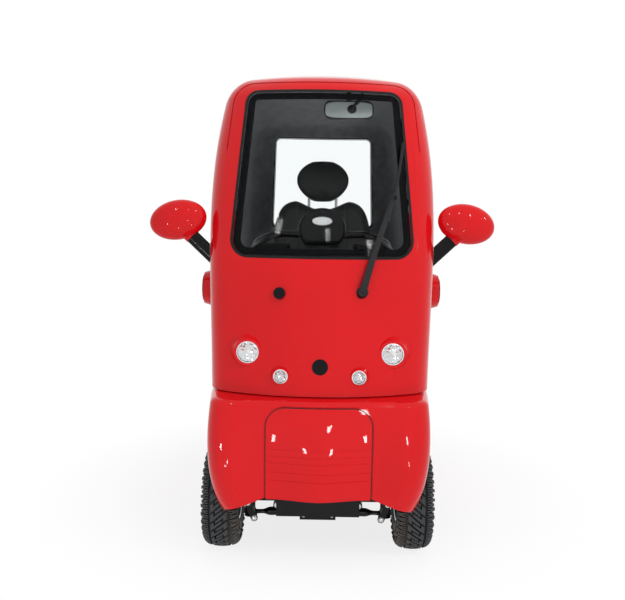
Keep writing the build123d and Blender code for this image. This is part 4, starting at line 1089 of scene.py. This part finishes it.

# %% [markdown]
# The rider's side of the console carries the controls: a speed dial, a key
# switch, a row of charge lights and two rockers. They sit on the tilted rear face.

# %% Console controls
DIAL = [(-0.002, 0.019), (0.002, 0.019), (0.003, 0.0165), (0.013, 0.0155), (0.0155, 0.0140),
        (0.016, 0.001)]
KEY = [(-0.002, 0.010), (0.004, 0.010), (0.005, 0.0085), (0.0052, 0.004), (0.003, 0.0035),
       (0.003, 0.0005)]
DIAL_AT, KEY_AT, ROCKERS = (0, 0.012), (-0.045, -0.020), [(0.035, -0.020), (0.055, -0.020)]
LIGHTS, LIGHT_PITCH, LIGHT_Z = 5, 0.012, 0.046
ROCKER_SIZE, LIGHT_SIZE = (0.014, 0.010, 0.020), (0.008, 0.004, 0.005)
console_turn = Matrix.Rotation(math.radians(-12), 4, "X")
console = Matrix.Translation((0, -0.3173, 1.022)) @ console_turn
rear_way = (console_turn.to_3x3() @ Vector((0, 1, 0))).normalized()


def on_console(x, up, out=0.0):
    """A place on the console's rear face."""
    return console @ Vector((x, 0.046 + out, up))


def soft_box(bm, at, size, radius):
    """A box with rounded edges that stands on the console."""
    made = bmesh.ops.create_cube(bm, size=1.0)["verts"]
    for vert in made:
        vert.co = Vector([c * s for c, s in zip(vert.co, size)])
    edges = list({e for v in made for e in v.link_edges})
    bevelled = bmesh.ops.bevel(bm, geom=edges, offset=radius, segments=3, affect="EDGES",
                               profile=0.5)
    verts = {v for f in bevelled["faces"] for v in f.verts} | {v for v in made if v.is_valid}
    bmesh.ops.transform(bm, matrix=Matrix.Translation(at) @ console_turn, verts=list(verts))


knobs, lights = bmesh.new(), bmesh.new()
turned(knobs, DIAL, on_console(*DIAL_AT), rear_way, steps=30)
turned(knobs, KEY, on_console(*KEY_AT), rear_way, steps=24)
for x, up in ROCKERS:
    soft_box(knobs, on_console(x, up, 0.002), ROCKER_SIZE, 0.002)
for k in range(LIGHTS):
    x = LIGHT_PITCH * (k - (LIGHTS - 1) / 2)
    soft_box(lights, on_console(x, LIGHT_Z, 0.0008), LIGHT_SIZE, 0.001)
settle("console_knobs", knobs, abs_grain, "tiller")
settle("charge_lights", lights, amber, "tiller")
print("controls on the console")

# %% [markdown]
# Through the windscreen hangs a mirror for looking back. Its glass faces the rider, and its back,
# which faces the street, is pale grey. It hangs from the roof on a ball and a cranked arm.

# %% Cabin mirror
MIRROR_Z, SQUARE_ROUND = 1.435, 0.45
STALK = [(0.010, -0.016, 0.004), (0.022, -0.022, 0.018), (0.040, -0.018, 0.036),
         (0.046, 0.000, 0.058)]
BALL = [(-0.004, 0.016), (0.000, 0.0165), (0.004, 0.012), (0.006, 0.006), (0.0062, 0.0006)]
mirror_mid = middle_of("cabin_mirror")
mirror_mid.z = MIRROR_Z
back, glass, stalk = bmesh.new(), bmesh.new(), bmesh.new()
for bm, y, (wide, deep, high) in ((back, -0.0105, (0.160, 0.004, 0.054)),
                                  (glass, 0.0102, (0.162, 0.003, 0.055))):
    skin(bm, [[mirror_mid + Vector((u * wide / 2 * grown, y + off, v * high / 2 * grown))
               for u, v in circle(48, SQUARE_ROUND)]
              for off, grown in ((-deep / 2, 0.94), (0, 1.0), (deep / 2, 0.94))])
swept(stalk, smooth_line(STALK, 6, mirror_mid), 0.010, steps=12)
turned(stalk, BALL, mirror_mid + Vector((0.010, -0.012, 0.004)), (0, -1, 0.2), steps=24)
# The back that faces the street is pale grey.
settle("cabin_mirror_back", back, pale_back_grey)
settle("cabin_mirror_glass", glass, silvering)
settle("cabin_mirror_stalk", stalk, abs_grain)
print("cabin mirror at", [round(v, 3) for v in mirror_mid])

# %% [markdown]
# Bright bolt heads catch the eye under the nose, where everything else is black. They
# stand at the ends of the link plates, on the eyes above the lower arms, on the centre
# block and on the hinges. The bolt tree from before draws all of them.

# %% Bolts
AXLE_Y = middle_of("tyre_front_left").y
LINK_FACE, EYE_FACE, BLOCK_FACE = AXLE_Y - 0.036, AXLE_Y - 0.034, -0.625
AHEAD, HINGE_X, HINGE_HEIGHTS = (0, -1, 0), 0.411, (0.560, 1.120)
ON_LINKS = [(0.206, LINK_FACE, 0.097), (0.227, LINK_FACE, 0.147), (0.133, EYE_FACE, 0.141)]
ON_BLOCK = [(0.046, BLOCK_FACE, 0.113), (0.046, BLOCK_FACE, 0.149)]
LINK_BOLT, BLOCK_BOLT, HINGE_BOLT = (0.0062, 0.006), (0.0038, 0.003), (0.0048, 0.003)
for name, places, size in (("front_suspension_bolts", ON_LINKS, LINK_BOLT),
                           ("centre_block_bolts", ON_BLOCK, BLOCK_BOLT)):
    bolts(name, [((side * x, y, z), AHEAD) for side in (1, -1) for x, y, z in places], size, zinc)
for label, side in (("left", 1), ("right", -1)):
    leaf = [((side * HINGE_X, y, z), (side, 0, 0)) for z in HINGE_HEIGHTS for y in (0.250, 0.278)]
    bolts("door_" + label + "_hinge_bolts", leaf, HINGE_BOLT, enamel, "door_" + label)
    foot = [((side * HINGE_X, 0.345, z + d), (side, 0, 0)) for z in HINGE_HEIGHTS
            for d in (-0.021, 0.021)]
    bolts("bracket_" + label + "_bolts", foot, HINGE_BOLT, enamel)
print("bolts on", 2 * (len(ON_LINKS) + len(ON_BLOCK) + len(leaf) + len(foot)), "places")

# %% [markdown]
# The rear legs are coil-over dampers. Each spring is one wire on a helix round the
# damper's body, drawn as a swept round section.

# %% Rear springs
COIL_R, WIRE, COIL_TURNS, STEPS_A_TURN = 0.028, 0.007, 6, 18
spring_foot, spring_head = Vector((0.160, 0.5478, 0.228)), Vector((0.160, 0.5548, 0.335))
side_way = Vector((1, 0, 0))
cross_way = (spring_head - spring_foot).normalized().cross(side_way).normalized()
helix = []
for k in range(COIL_TURNS * STEPS_A_TURN + 1):
    a = 2 * math.pi * k / STEPS_A_TURN
    helix.append(spring_foot.lerp(spring_head, k / (COIL_TURNS * STEPS_A_TURN))
                 + COIL_R * (math.cos(a) * side_way + math.sin(a) * cross_way))
coils = bmesh.new()
swept(coils, helix, WIRE, steps=10)
mirrored(coils)
settle("rear_springs", coils, enamel)
print("springs of", COIL_TURNS, "turns")

# %% [markdown]
# The lid's edge reads as a dark line with a bright side. The dark line is painted shade:
# a thin dark strip in the black rubber finish, drawn as the edge strip of the lid's own skin,
# where the gap's shade falls. The white oval on the console is a plain printed plate, wider than
# the imported one, and the jet is a dome with two nozzles.

# %% Painted gap shade, plate and jet
GAP_SHADE_WIDE, GAP_SHADE_OFF, GAP_SHADE_T = 0.0022, 0.0004, 0.0005
CREASES_LOW, CREASES_HIGH, CREASE_END = 0.285, 0.396, 0.004
PLATE_HALF_W, PLATE_HALF_H = 0.034, 0.0145
PLATE = [(-0.0030, 1.0), (0.0018, 1.0), (0.0026, 0.96), (0.0026, 0.90), (0.0021, 0.88)]
JET = [(0.006, 0.0125), (0.010, 0.0120), (0.013, 0.0090), (0.0145, 0.0045), (0.0148, 0.0005)]
NOZZLE = [(0.0, 0.0036), (0.006, 0.0034), (0.0066, 0.0022), (0.0045, 0.0016), (0.0045, 0.0003)]
lid_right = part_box("nose_panel")[1][0]


def in_creases(p):
    """The pressed lines across the lid, which keep their paint and get no painted gap shade."""
    return abs(p.x) < lid_right - CREASE_END and CREASES_LOW < p.z < CREASES_HIGH


# Painted shade: a thin dark strip laid along the lid's edge, where the gap's shade falls.
gap_shade = edge_strip("nose_panel", AHEAD, GAP_SHADE_WIDE, GAP_SHADE_OFF, GAP_SHADE_T, 0.30, in_creases)
settle("nose_panel_gap_shade", gap_shade, rubber)
plate_mid, front_way = middle_of("tiller_badge"), -rear_way
up = side_way.cross(front_way).normalized()
up = up if up.z > 0 else -up
plate = bmesh.new()
skin(plate, [[plate_mid + front_way * out + side_way * PLATE_HALF_W * share * u
              + up * PLATE_HALF_H * share * v for u, v in circle(56)] for out, share in PLATE])
oval_plate = settle("tiller_plate", plate, white_print, "tiller")
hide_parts("tiller_badge")
jet_at, jet_way = meet(body_skin, -0.127, 0.839)
jet = bmesh.new()
turned(jet, JET, jet_at, jet_way, steps=28)
for x in (-0.007, 0.007):
    turned(jet, NOZZLE, jet_at + jet_way * 0.011 + Vector((x, 0, 0.002)),
           jet_way + Vector((x * 20, 0, 0.4)), steps=16)
settle("washer_nozzles", jet, abs_gloss)
print("plate at", [round(v, 3) for v in plate_mid])

# %% [markdown]
# The back isn't in the photograph, so it stays plain: a black ring and a stepped lens on
# each tail lamp, a reflector under them, and a rubber strip that takes the knocks on the bumper.

# %% Rear trim
LAMP_RING = [(-0.012, 0.0345), (-0.012, 0.0405), (-0.002, 0.0405), (0.0, 0.0390), (0.0, 0.0360),
             (-0.0015, 0.0345)]
TAIL_STEP = [(-0.0005, 0.0), (0.0010, 0.0012), (0.0010, 0.0040), (-0.0005, 0.0052)]
REFLECTOR = [(-0.002, 0.021), (0.004, 0.021), (0.006, 0.019), (0.0064, 0.010), (0.0065, 0.0005)]
TAIL_X, TAIL_Z, STEP_RADII, REFLECTOR_Z = 0.255, (0.560, 0.660), (0.027, 0.019, 0.011), 0.475
STRIP_HALF, STRIP_Z, STRIP_STEPS, STRIP = 0.27, 0.336, 24, (0.006, 0.020)
rings, steps, reflectors, strip = bmesh.new(), bmesh.new(), bmesh.new(), bmesh.new()
lamp_skin, bumper_skin = skin_of("tail_lamps"), skin_of("rear_bumper")
for x in (-TAIL_X, TAIL_X):
    for z in TAIL_Z:
        at = (x, meet(lamp_skin, x, z, BACK)[0].y, z)
        turned(rings, LAMP_RING, at, (0, 1, 0), caps=False)
        for r in STEP_RADII:
            turned(steps, [(out, r - step) for out, step in TAIL_STEP], at, (0, 1, 0), steps=40,
                   caps=False)
    turned(reflectors, REFLECTOR, *meet(body_skin, x, REFLECTOR_Z, BACK), steps=40)
strip_line = [meet(bumper_skin, 2 * STRIP_HALF * k / STRIP_STEPS - STRIP_HALF, STRIP_Z, BACK)[0]
              for k in range(STRIP_STEPS + 1)]
swept(strip, strip_line, *STRIP, round_ness=3)
settle("tail_lamp_rings", rings, abs_gloss)
settle("tail_lens_steps", steps, tail_red)
settle("rear_reflectors", reflectors, tail_red)
settle("bumper_strip", strip, rubber)
print("rear trim on")
